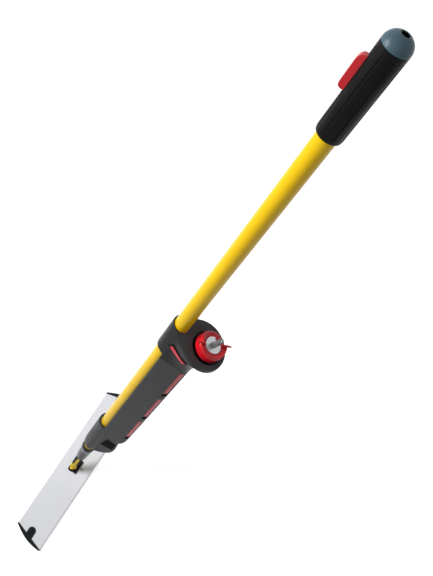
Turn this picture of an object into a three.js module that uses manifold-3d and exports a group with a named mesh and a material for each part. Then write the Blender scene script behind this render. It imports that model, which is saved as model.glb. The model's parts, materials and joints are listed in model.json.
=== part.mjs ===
// Flat-frame spray mop, in millimetres, +Z up.
//
// The origin is the middle of the face that carries the cleaning pad. +X runs along the frame,
// and the reservoir and its nozzles lie on the -Y side. The pole leans as it is held in use:
// the cross tilts about +X and the handle swings about the cross.
//
// The handle has a frame of its own: z runs up the pole from the upper pin, +x points to the
// reservoir, and the trigger is on the -x side.

import * as THREE from 'three';
import { mergeVertices } from 'three/addons/utils/BufferGeometryUtils.js';
import Module from 'manifold-3d';

const wasm = await Module();
wasm.setup();

// ---------- driving dimensions ----------

// clearances
const SEAT = 0.3;                 // between pieces that touch
const RUN = 0.35;                 // between pieces that move past each other
const RADIAN = Math.PI / 180;

// mop frame
const FRAME_LONG = 443;           // front edge of the plate
const FRAME_SHORT = 401;          // rear edge of the plate
const FRAME_WIDTH = 91;
const PLATE_THICK = 6;
const STRIP_THICK = 2.5;
const STRIP_WIDTH = 22;
const STRIP_INSET = 14;           // strip end to plate end
const CAP_BULGE = 11;             // how far an end cap stands past the plate's end, at its middle
const CAP_EDGE = 4;               // the same, at the corners
const CAP_TAB_WIDTH = 22;
const CAP_TAB_LENGTH = 24;
const CAP_TAB_THICK = 2;

// universal joint
const LOWER_PIN_HEIGHT = 15.5;    // above the plate
const PIN_SPACING = 14.5;
const PIN_RADIUS = 3;
const TILT = 23.5;                // the pole's lean towards -Y, degrees
const SWING = 28.5;               // the pole's lean towards +X, degrees
const BARREL_RADIUS = 5.2;
const BARREL_LENGTH = 24.8;
const CORE_THICK = 8.4;           // yellow core, along the upper pin
const CORE_RADIUS = 6.5;          // its eye, and half its width
const EAR_SPAN = 17;              // across the cross's two ears
const EAR_RADIUS = 6.2;
const BRACKET_LENGTH = 36;
const BRACKET_WIDTH = 25;
const BRACKET_FLOOR = 5;
const BRACKET_EAR_THICK = 5;
const BRACKET_EAR_RADIUS = 6.2;
const SIDE_WALL_HEIGHT = 7.5;
const SIDE_WALL_THICK = 3.5;

// yoke, adapter and pole, heights up the handle from the upper pin
const FORK_ARM_THICK = 5;
const FORK_TOP = 77;
const ARM_BOTTOM = 26;            // lower end of the fork's arms
const CONE_LOW_RADIUS = 10.5;
const CONE_HIGH_RADIUS = 14.6;
const CONE_LENGTH = 64;
const STEM_RADIUS = 9.5;
const COLLAR_RADIUS = 15.6;
const COLLAR_HEIGHT = 8;
const COLLAR_TRAVEL = 3.5;
const SOCKET_RADIUS = 16.6;
const SOCKET_HEIGHT = 18;
const SOCKET_FLOOR = 4.6;
const SLEEVE_STEP = 24;           // pole's lower end to the sleeve's
const POLE_RADIUS = 14.5;
const POLE_WALL = 1.5;
const POLE_LENGTH = 1160;

// nozzle housing
const SLEEVE_LAP = 21;            // sleeve above the reservoir's foot
const HOUSING_LENGTH = 123;       // sleeve's lower edge to the reservoir
const SLEEVE_LOW_RADIUS = 18.6;
const SLEEVE_HIGH_RADIUS = 20.5;
const HOUSING_HALF_WIDTH = 15;
const HOUSING_REACH = 54;         // furthest point in front of the pole's axis
const NOZZLE_COUNT = 3;
const NOZZLE_PITCH = 8;
const NOZZLE_RADIUS = 2.4;

// reservoir
const BODY_LENGTH = 395;
const BODY_BACK = 2.5;
const BODY_FRONT = 61.5;
const BODY_HALF_WIDTH = 24;
const BODY_CORNER = 15;
const BODY_FOOT_RADIUS = 25;
const SHROUD_WALL = 2.4;
const TANK_WALL = 1.8;
const TANK_BACK = 18.6;
const TANK_RISE = 12;             // tank above the shroud
const WINDOW_COUNT = 3;
const WINDOW_LENGTH = 104;
const WINDOW_PITCH = 121;
const WINDOW_START = 42;          // lowest window above the reservoir's foot
const WINDOW_WIDTH = 10.5;
const RIB_WIDTH = 6.6;            // the part of a window's width that the tank's rib fills
const WINDOW_ANGLE = 62;          // round the front corner, from the front, to the rib's middle
const WINDOW_DARK_END = 14;       // bare length at each window's lower end
const SCREW_RADIUS = 2.6;
const SCREW_DEPTH = 1.4;

// head, measured on its sloping top face
const HEAD_TILT = 15;             // degrees
const HEAD_LENGTH = 90;           // shroud's top to the top face, on the pole's axis
const HEAD_RIM = 8;               // height of the upright rim
const HEAD_WALL = 2.2;
const HEAD_RADIUS = 46.5;
const HEAD_CENTRE = 52;
const HEAD_COLLAR_RADIUS = 18.2;
const HEAD_COLLAR_STEP = 12;      // shroud's top to the collar's lower edge, behind
const WELL_RADIUS = 31.5;
const WELL_DEPTH = 4.5;
const FILL_CENTRE = 60;
const NECK_RADIUS = 20;
const NECK_BORE = 17.4;
const NECK_FOOT_BORE = 10.5;
const NECK_RISE = 7;              // neck rim above the top face
const NECK_SHOULDER = -17;        // where the funnel meets the straight neck
const FILL_CAP_RADIUS = 27.6;
const FILL_CAP_HEIGHT = 17;
const FILL_CAP_LIFT = 1.5;        // cap's lower edge above the top face
const WING_LENGTH = 17;
const WING_THICK = 5;
const WING_HEIGHT = 11;
const WING_ANGLE = 35;            // degrees from +x
const DISC_RADIUS = 14.4;
const DISC_THICK = 3;
const NIPPLE_RADIUS = 5.4;
const NIPPLE_LENGTH = 27;
const POPPET_RADIUS = 2.6;

// grip and trigger
const GRIP_LAP = 53;              // grip over the pole's end
const GRIP_LENGTH = 131;
const GRIP_RADIUS = 18.9;
const GRIP_BORE = 12;
const GROOVE_COUNT = 8;
const GROOVE_RADIUS = 1.5;
const DOME_HEIGHT = 18;
const HANG_HOLE_RADIUS = 5.4;
const TRIGGER_DROP = 22;          // trigger's top below the grip's seam
const TRIGGER_LENGTH = 49;
const TRIGGER_WIDTH = 9;
const TRIGGER_PROUD = 8.5;        // how far it stands out of the grip
const TRIGGER_PIVOT_X = -12;
const TRIGGER_PIVOT_DROP = 11;    // pivot below the trigger's top
const TRIGGER_PIN_RADIUS = 1.6;
const LINK_PIN_RADIUS = 1.4;

// pump, inside the pole
const ROD_RADIUS = 2.2;
const PUMP_START = 47;            // above the pole's lower end
const PUMP_LENGTH = 80;
const PUMP_BORE = 9;
const PISTON_LENGTH = 10;
const PISTON_START = 33;          // above the pump's foot, at rest
const SPRING_WIRE = 0.7;

// ---------- heights up the handle ----------

const CONE_TOP = FORK_TOP + CONE_LENGTH;
const COLLAR_LOW = CONE_TOP + SEAT;
const SOCKET_LOW = COLLAR_LOW + COLLAR_HEIGHT + COLLAR_TRAVEL + SEAT;
const POLE_BOTTOM = SOCKET_LOW + SOCKET_FLOOR + SEAT;
const POLE_TOP = POLE_BOTTOM + POLE_LENGTH;
const SLEEVE_BOTTOM = POLE_BOTTOM + SLEEVE_STEP;
const BODY_BOTTOM = SLEEVE_BOTTOM + HOUSING_LENGTH;
const BODY_TOP = BODY_BOTTOM + BODY_LENGTH;
const SLEEVE_TOP = BODY_BOTTOM + SLEEVE_LAP;
const TANK_TOP = BODY_TOP + TANK_RISE;
const HEAD_COLLAR_LOW = BODY_TOP + HEAD_COLLAR_STEP;
const HEAD_HEIGHT = BODY_TOP + HEAD_LENGTH;
const WINDOW_BOTTOM = BODY_BOTTOM + WINDOW_START;
const GRIP_BOTTOM = POLE_TOP - GRIP_LAP;
const GRIP_TOP = GRIP_BOTTOM + GRIP_LENGTH;
const TRIGGER_TOP = GRIP_TOP - TRIGGER_DROP;
const TRIGGER_BOTTOM = TRIGGER_TOP - TRIGGER_LENGTH;
const TRIGGER_PIVOT_Z = TRIGGER_TOP - TRIGGER_PIVOT_DROP;
const PUMP_BOTTOM = POLE_BOTTOM + PUMP_START;
const PUMP_TOP = PUMP_BOTTOM + PUMP_LENGTH;
const PISTON_FOOT = PUMP_BOTTOM + PISTON_START;

// ---------- finishes ----------

const finish = (color, roughness, metalness = 0) =>
  new THREE.MeshStandardMaterial({ color, roughness, metalness });

const YELLOW = finish(0xf8d21a, 0.35);
const CROSS_YELLOW = finish(0xf0cd32, 0.45);
const GREY = finish(0x4a4a4c, 0.6);
const BLACK = finish(0x202022, 0.55);
const RED = finish(0xd0232d, 0.35);
const TANK_RED = finish(0xe0566a, 0.2);
const SLATE = finish(0x5a7380, 0.5);
const PLATE_WHITE = finish(0xdedfe4, 0.4);
const STEEL = finish(0xc8c8c8, 0.25, 1);
const CONE_GREY = finish(0x55555a, 0.5);
const FELT = finish(0x2c2c30, 0.95);

// ---------- shape helpers ----------

/** A closed solid for joining and cutting, from any closed geometry. */
function solid(geometry) {
  const bare = geometry.clone();
  bare.deleteAttribute('normal');
  bare.deleteAttribute('uv');
  const merged = mergeVertices(bare, 1e-5);
  return new wasm.Manifold(new wasm.Mesh({
    numProp: 3,
    vertProperties: Float32Array.from(merged.attributes.position.array),
    triVerts: Uint32Array.from(merged.index.array),
  }));
}

/** A geometry from a joined or cut solid. */
function geometryOf(body) {
  const result = body.getMesh();
  const geometry = new THREE.BufferGeometry();
  geometry.setAttribute('position', new THREE.BufferAttribute(result.vertProperties, 3));
  geometry.setIndex(new THREE.BufferAttribute(result.triVerts, 1));
  geometry.computeVertexNormals();
  return geometry;
}

/** Joins the first solid with the rest. */
const joined = (first, ...rest) => rest.reduce((body, next) => body.add(next), first);

/** Cuts the rest out of the first solid. */
const cut = (first, ...rest) => rest.reduce((body, next) => body.subtract(next), first);

/** A body turned about z from a closed [radius, height] outline, anticlockwise. */
function turned(outline, segments = 28) {
  const points = outline.map(([radius, height]) => new THREE.Vector2(radius, height));
  const onAxis = outline[0][0] === 0 && outline[outline.length - 1][0] === 0;
  if (!onAxis) points.push(points[0].clone());
  return new THREE.LatheGeometry(points, segments).rotateX(Math.PI / 2);
}

/** A cylinder about z between two heights. */
const rod = (radius, low, high, segments = 24) =>
  turned([[0, low], [radius, low], [radius, high], [0, high]], segments);

/** A tube about z between two heights. */
const tube = (outer, inner, low, high, segments = 28) =>
  turned([[inner, low], [outer, low], [outer, high], [inner, high]], segments);

/** A cylinder along x, centred on a point. */
const rodAlongX = (radius, length, [x, y, z], segments = 24) =>
  rod(radius, -length / 2, length / 2, segments).rotateY(Math.PI / 2).translate(x, y, z);

/** A cylinder along y, centred on a point. */
const rodAlongY = (radius, length, [x, y, z], segments = 24) =>
  rod(radius, -length / 2, length / 2, segments).rotateX(Math.PI / 2).translate(x, y, z);

/** A box between two corners. */
function block([x0, y0, z0], [x1, y1, z1]) {
  const geometry = new THREE.BoxGeometry(x1 - x0, y1 - y0, z1 - z0);
  return geometry.translate((x0 + x1) / 2, (y0 + y1) / 2, (z0 + z1) / 2);
}

/** A shape from a list of [x, y] corners. */
const polygon = (corners) => new THREE.Shape(corners.map(([x, y]) => new THREE.Vector2(x, y)));

/** An x-y shape raised between two heights. */
const raised = (shape, low, high, curveSegments = 8) =>
  new THREE.ExtrudeGeometry(shape, { depth: high - low, bevelEnabled: false, curveSegments })
    .translate(0, 0, low);

/** An x-z shape drawn out across y, between two values of y. */
const across = (shape, low, high, curveSegments = 8) =>
  new THREE.ExtrudeGeometry(shape, { depth: high - low, bevelEnabled: false, curveSegments })
    .rotateX(Math.PI / 2).translate(0, high, 0);

/** A rectangle with its own radius at the front (+x) and at the back corners. */
function roundedRectangle(back, front, halfWidth, frontRadius, backRadius) {
  const shape = new THREE.Shape();
  shape.moveTo(back + backRadius, -halfWidth);
  shape.lineTo(front - frontRadius, -halfWidth);
  shape.absarc(front - frontRadius, -halfWidth + frontRadius, frontRadius, -Math.PI / 2, 0);
  shape.lineTo(front, halfWidth - frontRadius);
  shape.absarc(front - frontRadius, halfWidth - frontRadius, frontRadius, 0, Math.PI / 2);
  shape.lineTo(back + backRadius, halfWidth);
  shape.absarc(back + backRadius, halfWidth - backRadius, backRadius, Math.PI / 2, Math.PI);
  shape.lineTo(back, -halfWidth + backRadius);
  shape.absarc(back + backRadius, -halfWidth + backRadius, backRadius, Math.PI, 1.5 * Math.PI);
  return shape;
}

/** Points of a circle in x-y. */
const circlePoints = (x, y, radius, count = 48) =>
  Array.from({ length: count }, (_, i) => new THREE.Vector2(
    x + radius * Math.cos((2 * Math.PI * i) / count),
    y + radius * Math.sin((2 * Math.PI * i) / count),
  ));

/** The convex outline round a set of points, anticlockwise. */
function convexOutline(points) {
  const sorted = [...points].sort((a, b) => a.x - b.x || a.y - b.y);
  const turn = (o, a, b) => (a.x - o.x) * (b.y - o.y) - (a.y - o.y) * (b.x - o.x);
  const chain = (list) => list.reduce((kept, point) => {
    while (kept.length > 1 && turn(kept[kept.length - 2], kept[kept.length - 1], point) <= 0) {
      kept.pop();
    }
    return [...kept, point];
  }, []);
  return [...chain(sorted).slice(0, -1), ...chain(sorted.reverse()).slice(0, -1)];
}

/** Points where evenly turned rays from a centre meet a convex outline. */
function rayPoints(outline, centreX, count) {
  return Array.from({ length: count }, (_, i) => {
    const angle = (2 * Math.PI * i) / count;
    const [dx, dy] = [Math.cos(angle), Math.sin(angle)];
    let reach = Infinity;
    outline.forEach((a, k) => {
      const b = outline[(k + 1) % outline.length];
      const [nx, ny] = [b.y - a.y, a.x - b.x];
      const towards = nx * dx + ny * dy;
      if (towards > 1e-9) reach = Math.min(reach, (nx * (a.x - centreX) + ny * a.y) / towards);
    });
    return new THREE.Vector2(centreX + reach * dx, reach * dy);
  });
}

/** A solid through a stack of rings with equal counts, closed by a fan at each end. */
function loft(rings) {
  const count = rings[0].length;
  const positions = rings.flat().flatMap((point) => point.toArray());
  const centre = (ring) => ring.reduce((sum, point) => sum.add(point), new THREE.Vector3())
    .divideScalar(count);
  positions.push(...centre(rings[0]).toArray(), ...centre(rings[rings.length - 1]).toArray());
  const index = [];
  for (let level = 0; level < rings.length - 1; level += 1) {
    for (let i = 0; i < count; i += 1) {
      const [a, b] = [level * count + i, level * count + ((i + 1) % count)];
      index.push(a, b, b + count, a, b + count, a + count);
    }
  }
  const [low, high] = [rings.length * count, rings.length * count + 1];
  const last = (rings.length - 1) * count;
  for (let i = 0; i < count; i += 1) {
    const next = (i + 1) % count;
    index.push(low, next, i, high, last + i, last + next);
  }
  const geometry = new THREE.BufferGeometry();
  geometry.setAttribute('position', new THREE.Float32BufferAttribute(positions, 3));
  geometry.setIndex(index);
  geometry.computeVertexNormals();
  return geometry;
}

/** A coil spring about z, as an open helix of round wire. */
function coil(radius, wire, low, high, turns) {
  class Helix extends THREE.Curve {
    getPoint(t) {
      const angle = 2 * Math.PI * turns * t;
      const height = low + wire + (high - low - 2 * wire) * t;
      return new THREE.Vector3(radius * Math.cos(angle), radius * Math.sin(angle), height);
    }
  }
  const section = new THREE.Shape();
  section.absarc(0, 0, wire, 0, 2 * Math.PI);
  return new THREE.ExtrudeGeometry(section, {
    extrudePath: new Helix(), steps: turns * 8, curveSegments: 2, bevelEnabled: false,
  });
}

/** Adds a named mesh to a group. */
function addPart(group, name, geometry, material) {
  const mesh = new THREE.Mesh(geometry, material);
  mesh.name = name;
  group.add(mesh);
}

// ---------- mop frame ----------

const PLATE_LOW = STRIP_THICK;
const PLATE_HIGH = PLATE_LOW + PLATE_THICK;
const HALF_WIDTH = FRAME_WIDTH / 2;
const END_SLOPE = (FRAME_LONG - FRAME_SHORT) / 2 / FRAME_WIDTH;

/** Half the plate's length at a given y. */
const plateEnd = (y) => FRAME_SHORT / 2 + END_SLOPE * (HALF_WIDTH - y);

/** The outline of an end cap for the +x end: a crescent with an inward tab. */
function endCapOutline() {
  const end = (y, past) => new THREE.Vector2(plateEnd(y) + past, y);
  const steps = 12;
  const shape = new THREE.Shape();
  shape.moveTo(...end(-HALF_WIDTH, SEAT).toArray());
  for (let i = 0; i <= steps; i += 1) {
    const share = i / steps;
    const y = -HALF_WIDTH + FRAME_WIDTH * share;
    const bow = CAP_EDGE + (CAP_BULGE - CAP_EDGE) * Math.sin(Math.PI * share);
    shape.lineTo(...end(y, bow).toArray());
  }
  shape.lineTo(...end(HALF_WIDTH, SEAT).toArray());
  return shape;
}

/** The tab of the +x end cap, lying on the plate, with a round inner end. */
function endTabOutline() {
  const half = CAP_TAB_WIDTH / 2;
  const outer = plateEnd(0) + CAP_EDGE;
  const inner = plateEnd(0) - CAP_TAB_LENGTH + half;
  const shape = new THREE.Shape();
  shape.moveTo(outer, -half);
  shape.lineTo(outer, half);
  shape.lineTo(inner, half);
  shape.absarc(inner, 0, half, Math.PI / 2, 1.5 * Math.PI);
  return shape;
}

/** The end cap on the +x end. */
function endCap() {
  const crescent = solid(raised(endCapOutline(), SEAT, PLATE_HIGH + CAP_TAB_THICK));
  const tab = solid(raised(endTabOutline(), PLATE_HIGH + 0.1, PLATE_HIGH + CAP_TAB_THICK, 10));
  const hole = solid(rod(2.2 + RUN, 0, 30, 16).translate(plateEnd(0) - CAP_TAB_LENGTH / 2, 0, 0));
  return geometryOf(cut(joined(crescent, tab), hole));
}

/** The end cap on the -x end: the other one, reflected. */
function endCapMirrored() {
  const geometry = endCap();
  geometry.scale(-1, 1, 1);
  const index = geometry.index.array;
  for (let i = 0; i < index.length; i += 3) [index[i], index[i + 1]] = [index[i + 1], index[i]];
  geometry.computeVertexNormals();
  return geometry;
}

const SCREW_SHANK = 1.8;
const SCREW_HEAD = 3.6;
const SCREW_HEAD_THICK = 2.2;
const SCREW_GRIP = 4;             // how far a bracket screw reaches above the plate
const BRACKET_SCREWS = [-1, 1].map((side) => side * (BRACKET_LENGTH - BRACKET_EAR_THICK) / 2);

/** The white plate, counterbored from below for the bracket's screws. */
function framePlate() {
  const shape = polygon([
    [-plateEnd(-HALF_WIDTH), -HALF_WIDTH], [plateEnd(-HALF_WIDTH), -HALF_WIDTH],
    [plateEnd(HALF_WIDTH), HALF_WIDTH], [-plateEnd(HALF_WIDTH), HALF_WIDTH],
  ]);
  const holes = BRACKET_SCREWS.flatMap((x) => [
    solid(rod(SCREW_SHANK + SEAT, 0, 20, 16).translate(x, 0, 0)),
    solid(rod(SCREW_HEAD + SEAT, 0, PLATE_LOW + SCREW_HEAD_THICK + SEAT, 20).translate(x, 0, 0)),
  ]);
  return geometryOf(cut(solid(raised(shape, PLATE_LOW, PLATE_HIGH)), ...holes));
}

/** A bracket screw, its head sunk in the plate's underside. */
function bracketScrew(x) {
  const [low, neck] = [PLATE_LOW + SEAT / 2, PLATE_LOW + SCREW_HEAD_THICK];
  return turned([[0, low], [SCREW_HEAD, low], [SCREW_HEAD, neck], [SCREW_SHANK, neck],
    [SCREW_SHANK, PLATE_HIGH + SCREW_GRIP], [0, PLATE_HIGH + SCREW_GRIP]], 16).translate(x, 0, 0);
}

/** One of the hook strips under the plate, at a given y. */
function hookStrip(y) {
  const reach = plateEnd(y + STRIP_WIDTH / 2) - STRIP_INSET;
  return block([-reach, y - STRIP_WIDTH / 2, 0], [reach, y + STRIP_WIDTH / 2, STRIP_THICK]);
}

/** A low, round-headed fastener standing on a face. */
function roundHead(radius, height, base) {
  return turned([[0, base], [radius, base], [radius, base + 0.35 * height],
    [0.7 * radius, base + 0.85 * height], [0, base + height]], 14);
}

/** The pivot bracket on the plate: a floor, two side walls and an ear at each end. */
function baseBracket() {
  const half = BRACKET_LENGTH / 2;
  const floor = solid(block([-half, -BRACKET_WIDTH / 2, PLATE_HIGH],
    [half, BRACKET_WIDTH / 2, PLATE_HIGH + BRACKET_FLOOR]));
  const walls = [-1, 1].map((side) => solid(block(
    [-half, side * BRACKET_WIDTH / 2 - (side > 0 ? SIDE_WALL_THICK : 0), PLATE_HIGH + 1],
    [half, side * BRACKET_WIDTH / 2 + (side > 0 ? 0 : SIDE_WALL_THICK), PLATE_HIGH + SIDE_WALL_HEIGHT],
  )));
  const pin = [0, 0, PLATE_HIGH + LOWER_PIN_HEIGHT];
  const ears = [-1, 1].map((side) => {
    const middle = side * (half - BRACKET_EAR_THICK / 2);
    const reach = BRACKET_EAR_THICK / 2;
    const post = solid(block([middle - reach, -BRACKET_EAR_RADIUS, PLATE_HIGH + 1],
      [middle + reach, BRACKET_EAR_RADIUS, PLATE_HIGH + LOWER_PIN_HEIGHT]));
    return joined(post, solid(rodAlongX(BRACKET_EAR_RADIUS, BRACKET_EAR_THICK, [middle, 0, pin[2]])));
  });
  const bore = solid(rodAlongX(PIN_RADIUS + SEAT, BRACKET_LENGTH + 10, pin));
  const screwHoles = BRACKET_SCREWS.map((x) => solid(rod(SCREW_SHANK + SEAT, PLATE_HIGH - 1,
    PLATE_HIGH + SCREW_GRIP + SEAT, 16).translate(x, 0, 0)));
  return geometryOf(cut(joined(floor, ...walls, ...ears), bore, ...screwHoles));
}

function buildFrame() {
  const group = new THREE.Group();
  addPart(group, 'frame_plate', framePlate(), PLATE_WHITE);
  addPart(group, 'end_cap_right', endCap(), BLACK);
  addPart(group, 'end_cap_left', endCapMirrored(), BLACK);
  [-1, 0, 1].forEach((place) => {
    const y = place * (HALF_WIDTH - STRIP_WIDTH / 2 - 4);
    addPart(group, `hook_strip_${place + 2}`, hookStrip(y), FELT);
  });
  addPart(group, 'base_bracket', baseBracket(), BLACK);
  addPart(group, 'lower_pin',
    rodAlongX(PIN_RADIUS, BRACKET_LENGTH + 1, [0, 0, PLATE_HIGH + LOWER_PIN_HEIGHT]), STEEL);
  [-1, 1].forEach((side) => {
    const name = side < 0 ? 'left' : 'right';
    addPart(group, `bracket_screw_${name}`, bracketScrew(side * BRACKET_SCREWS[1]), STEEL);
    addPart(group, `end_cap_rivet_${name}`, roundHead(4, 1.8, PLATE_HIGH + CAP_TAB_THICK)
      .translate(side * (plateEnd(0) - CAP_TAB_LENGTH / 2), 0, 0), BLACK);
  });
  return group;
}

// ---------- universal joint ----------

const CORE_ROOM = CORE_THICK / 2 + RUN;

/** The cross: a barrel on the lower pin, and two ears that hold the upper pin. */
function crossBlock() {
  const barrel = solid(rodAlongX(BARREL_RADIUS, BARREL_LENGTH, [0, 0, 0]));
  const web = solid(block([-EAR_RADIUS, -EAR_SPAN / 2, -2], [EAR_RADIUS, EAR_SPAN / 2, PIN_SPACING]));
  const ears = solid(rodAlongY(EAR_RADIUS, EAR_SPAN, [0, 0, PIN_SPACING]));
  const gap = solid(block([-20, -CORE_ROOM, PIN_SPACING - CORE_RADIUS - RUN], [20, CORE_ROOM, 60]));
  const lowerBore = solid(rodAlongX(PIN_RADIUS + RUN, BARREL_LENGTH + 2, [0, 0, 0]));
  const upperBore = solid(rodAlongY(PIN_RADIUS + SEAT, EAR_SPAN + 2, [0, 0, PIN_SPACING]));
  return geometryOf(cut(joined(barrel, web, ears), gap, lowerBore, upperBore));
}

/** The yellow core that hangs the cross: a blade with an eye at its lower end. */
function adapterCore() {
  const top = FORK_TOP - 8;
  const blade = solid(block([-CORE_THICK / 2, -CORE_RADIUS, 0], [CORE_THICK / 2, CORE_RADIUS, top]));
  const eye = solid(rodAlongX(CORE_RADIUS, CORE_THICK, [0, 0, 0]));
  const bore = solid(rodAlongX(PIN_RADIUS + RUN, CORE_THICK + 2, [0, 0, 0]));
  return geometryOf(cut(joined(blade, eye), bore));
}

/** The fork: two tapered arms that grip the core, joined above it. */
function yokeFork() {
  const armOuter = CORE_THICK / 2 + SEAT + FORK_ARM_THICK;
  const taper = polygon([[-armOuter + 1.6, ARM_BOTTOM], [armOuter - 1.6, ARM_BOTTOM],
    [armOuter, ARM_BOTTOM + 14], [armOuter, FORK_TOP - SEAT], [-armOuter, FORK_TOP - SEAT],
    [-armOuter, ARM_BOTTOM + 14]]);
  const arms = solid(across(taper, -CORE_RADIUS - 1.2, CORE_RADIUS + 1.2));
  const slot = solid(block([-CORE_THICK / 2 - SEAT, -30, -20],
    [CORE_THICK / 2 + SEAT, 30, FORK_TOP - 8 + SEAT]));
  return geometryOf(cut(arms, slot));
}

/** The cone under the collar, with the stem that the collar slides on. */
function adapterCone() {
  return turned([[0, FORK_TOP], [CONE_LOW_RADIUS, FORK_TOP], [CONE_HIGH_RADIUS - 2, FORK_TOP + 9],
    [CONE_HIGH_RADIUS - 1.2, FORK_TOP + 27], [CONE_HIGH_RADIUS - 0.4, CONE_TOP - 10],
    [CONE_HIGH_RADIUS, CONE_TOP], [STEM_RADIUS, CONE_TOP], [STEM_RADIUS, SOCKET_LOW - SEAT],
    [0, SOCKET_LOW - SEAT]]);
}

/** The cup that holds the pole's lower end. */
function poleSocket() {
  const floor = POLE_BOTTOM - SEAT;
  return turned([[0, SOCKET_LOW], [SOCKET_RADIUS - 1, SOCKET_LOW], [SOCKET_RADIUS, SOCKET_LOW + 2],
    [SOCKET_RADIUS, SOCKET_LOW + SOCKET_HEIGHT], [POLE_RADIUS + SEAT, SOCKET_LOW + SOCKET_HEIGHT],
    [POLE_RADIUS + SEAT, floor], [0, floor]]);
}

/** The sliding release collar, a ring with a waist. */
function releaseCollar() {
  const high = COLLAR_LOW + COLLAR_HEIGHT;
  return turned([[STEM_RADIUS + RUN, COLLAR_LOW], [COLLAR_RADIUS, COLLAR_LOW],
    [COLLAR_RADIUS, COLLAR_LOW + 2], [COLLAR_RADIUS - 0.8, COLLAR_LOW + 3],
    [COLLAR_RADIUS - 0.8, high - 3], [COLLAR_RADIUS, high - 2], [COLLAR_RADIUS, high],
    [STEM_RADIUS + 3, high], [STEM_RADIUS + 3, COLLAR_LOW + 2], [STEM_RADIUS + RUN, COLLAR_LOW + 2]]);
}

function buildAdapter(group) {
  addPart(group, 'yoke_fork', yokeFork(), BLACK);
  addPart(group, 'adapter_core', adapterCore(), CROSS_YELLOW);
  addPart(group, 'adapter_cone', adapterCone(), CONE_GREY);
  addPart(group, 'release_collar', releaseCollar(), CONE_GREY);
  addPart(group, 'collar_spring', coil(STEM_RADIUS + RUN + 1.2, SPRING_WIRE,
    COLLAR_LOW + 2 + SEAT, SOCKET_LOW - SEAT, 3), STEEL);
  addPart(group, 'pole_socket', poleSocket(), BLACK);
}

// ---------- nozzle housing ----------

const SLEEVE_BORE = POLE_RADIUS + SEAT;
const HOUSING_TOP = BODY_BOTTOM - SEAT;

/** The side outline of the housing in front of the pole. */
const housingOutline = () => polygon([
  [0, SLEEVE_BOTTOM + 2], [18, SLEEVE_BOTTOM + 5], [34, SLEEVE_BOTTOM + 19],
  [HOUSING_REACH - 6, SLEEVE_BOTTOM + 39], [HOUSING_REACH, SLEEVE_BOTTOM + 58],
  [HOUSING_REACH - 2, SLEEVE_BOTTOM + 80], [HOUSING_REACH - 6, HOUSING_TOP], [0, HOUSING_TOP],
]);

/** The side outline of the dark nozzle block, grown by a margin. */
function nozzleBlockOutline(margin) {
  const [low, high] = [SLEEVE_BOTTOM + 53 - margin, SLEEVE_BOTTOM + 97 + margin];
  return polygon([
    [SLEEVE_BORE + 2.5 - margin, low], [HOUSING_REACH - 6 + margin, low + 6],
    [HOUSING_REACH - 6 + margin, high - 2], [SLEEVE_BORE + 9 - margin, high],
  ]);
}

const NOZZLE_HEIGHT = SLEEVE_BOTTOM + 70;

/** The sleeve round the pole with the housing that grows out of it. */
function nozzleHousing() {
  const sleeve = solid(turned([[0, SLEEVE_BOTTOM], [SLEEVE_LOW_RADIUS - 1.6, SLEEVE_BOTTOM],
    [SLEEVE_LOW_RADIUS, SLEEVE_BOTTOM + 3], [SLEEVE_HIGH_RADIUS - 0.6, SLEEVE_BOTTOM + 16],
    [SLEEVE_HIGH_RADIUS, SLEEVE_BOTTOM + 40], [SLEEVE_HIGH_RADIUS, SLEEVE_TOP], [0, SLEEVE_TOP]], 36));
  const plan = roundedRectangle(-5, HOUSING_REACH + 1, HOUSING_HALF_WIDTH, 9, 1);
  const wedge = solid(across(housingOutline(), -HOUSING_HALF_WIDTH, HOUSING_HALF_WIDTH))
    .intersect(solid(raised(plan, SLEEVE_BOTTOM - 5, HOUSING_TOP + 5)));
  const poleBore = solid(rod(SLEEVE_BORE, SLEEVE_BOTTOM - 5, SLEEVE_TOP + 5, 36));
  const bodyRoom = solid(block([BODY_BACK - SEAT, -40, HOUSING_TOP], [80, 40, SLEEVE_TOP + 5]));
  const pocket = solid(across(nozzleBlockOutline(SEAT), -40, 40));
  const jets = nozzlePlaces().map((y) => solid(rodAlongX(NOZZLE_RADIUS + SEAT, 20,
    [HOUSING_REACH, y, NOZZLE_HEIGHT], 20)));
  return geometryOf(cut(joined(sleeve, wedge), poleBore, bodyRoom, pocket, ...jets));
}

/** The y of each nozzle. */
const nozzlePlaces = () => Array.from({ length: NOZZLE_COUNT },
  (_, i) => (i - (NOZZLE_COUNT - 1) / 2) * NOZZLE_PITCH);

/** A nozzle tip with a blind spray hole, pointing to the front. */
function nozzleTip(y) {
  const back = HOUSING_REACH - 6 + SEAT;
  const outline = [[0, 0], [NOZZLE_RADIUS, 0], [NOZZLE_RADIUS, 3.4], [NOZZLE_RADIUS - 0.8, 4.2],
    [0.9, 4.2], [0.9, 2], [0, 2]];
  return turned(outline, 14).rotateY(Math.PI / 2).translate(back, y, NOZZLE_HEIGHT);
}

function buildNozzles(group) {
  addPart(group, 'nozzle_housing', nozzleHousing(), GREY);
  const half = HOUSING_HALF_WIDTH - 0.6;
  addPart(group, 'nozzle_block', across(nozzleBlockOutline(0), -half, half), BLACK);
  nozzlePlaces().forEach((y, i) => addPart(group, `nozzle_tip_${i + 1}`, nozzleTip(y), BLACK));
}

// ---------- reservoir ----------

/** The side outline of the reservoir, shrunk by an inset, up to a given height. */
function bodySide(inset, top) {
  const [low, front] = [BODY_BOTTOM + inset, BODY_FRONT - inset];
  const radius = BODY_FOOT_RADIUS - inset;
  const shape = new THREE.Shape();
  shape.moveTo(-5, low);
  shape.lineTo(front - 2 - radius, low);
  shape.absarc(front - 2 - radius, low + radius, radius, -Math.PI / 2, 0);
  shape.lineTo(front, BODY_TOP - 180);
  shape.lineTo(front, top);
  shape.lineTo(-5, top);
  return shape;
}

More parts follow.
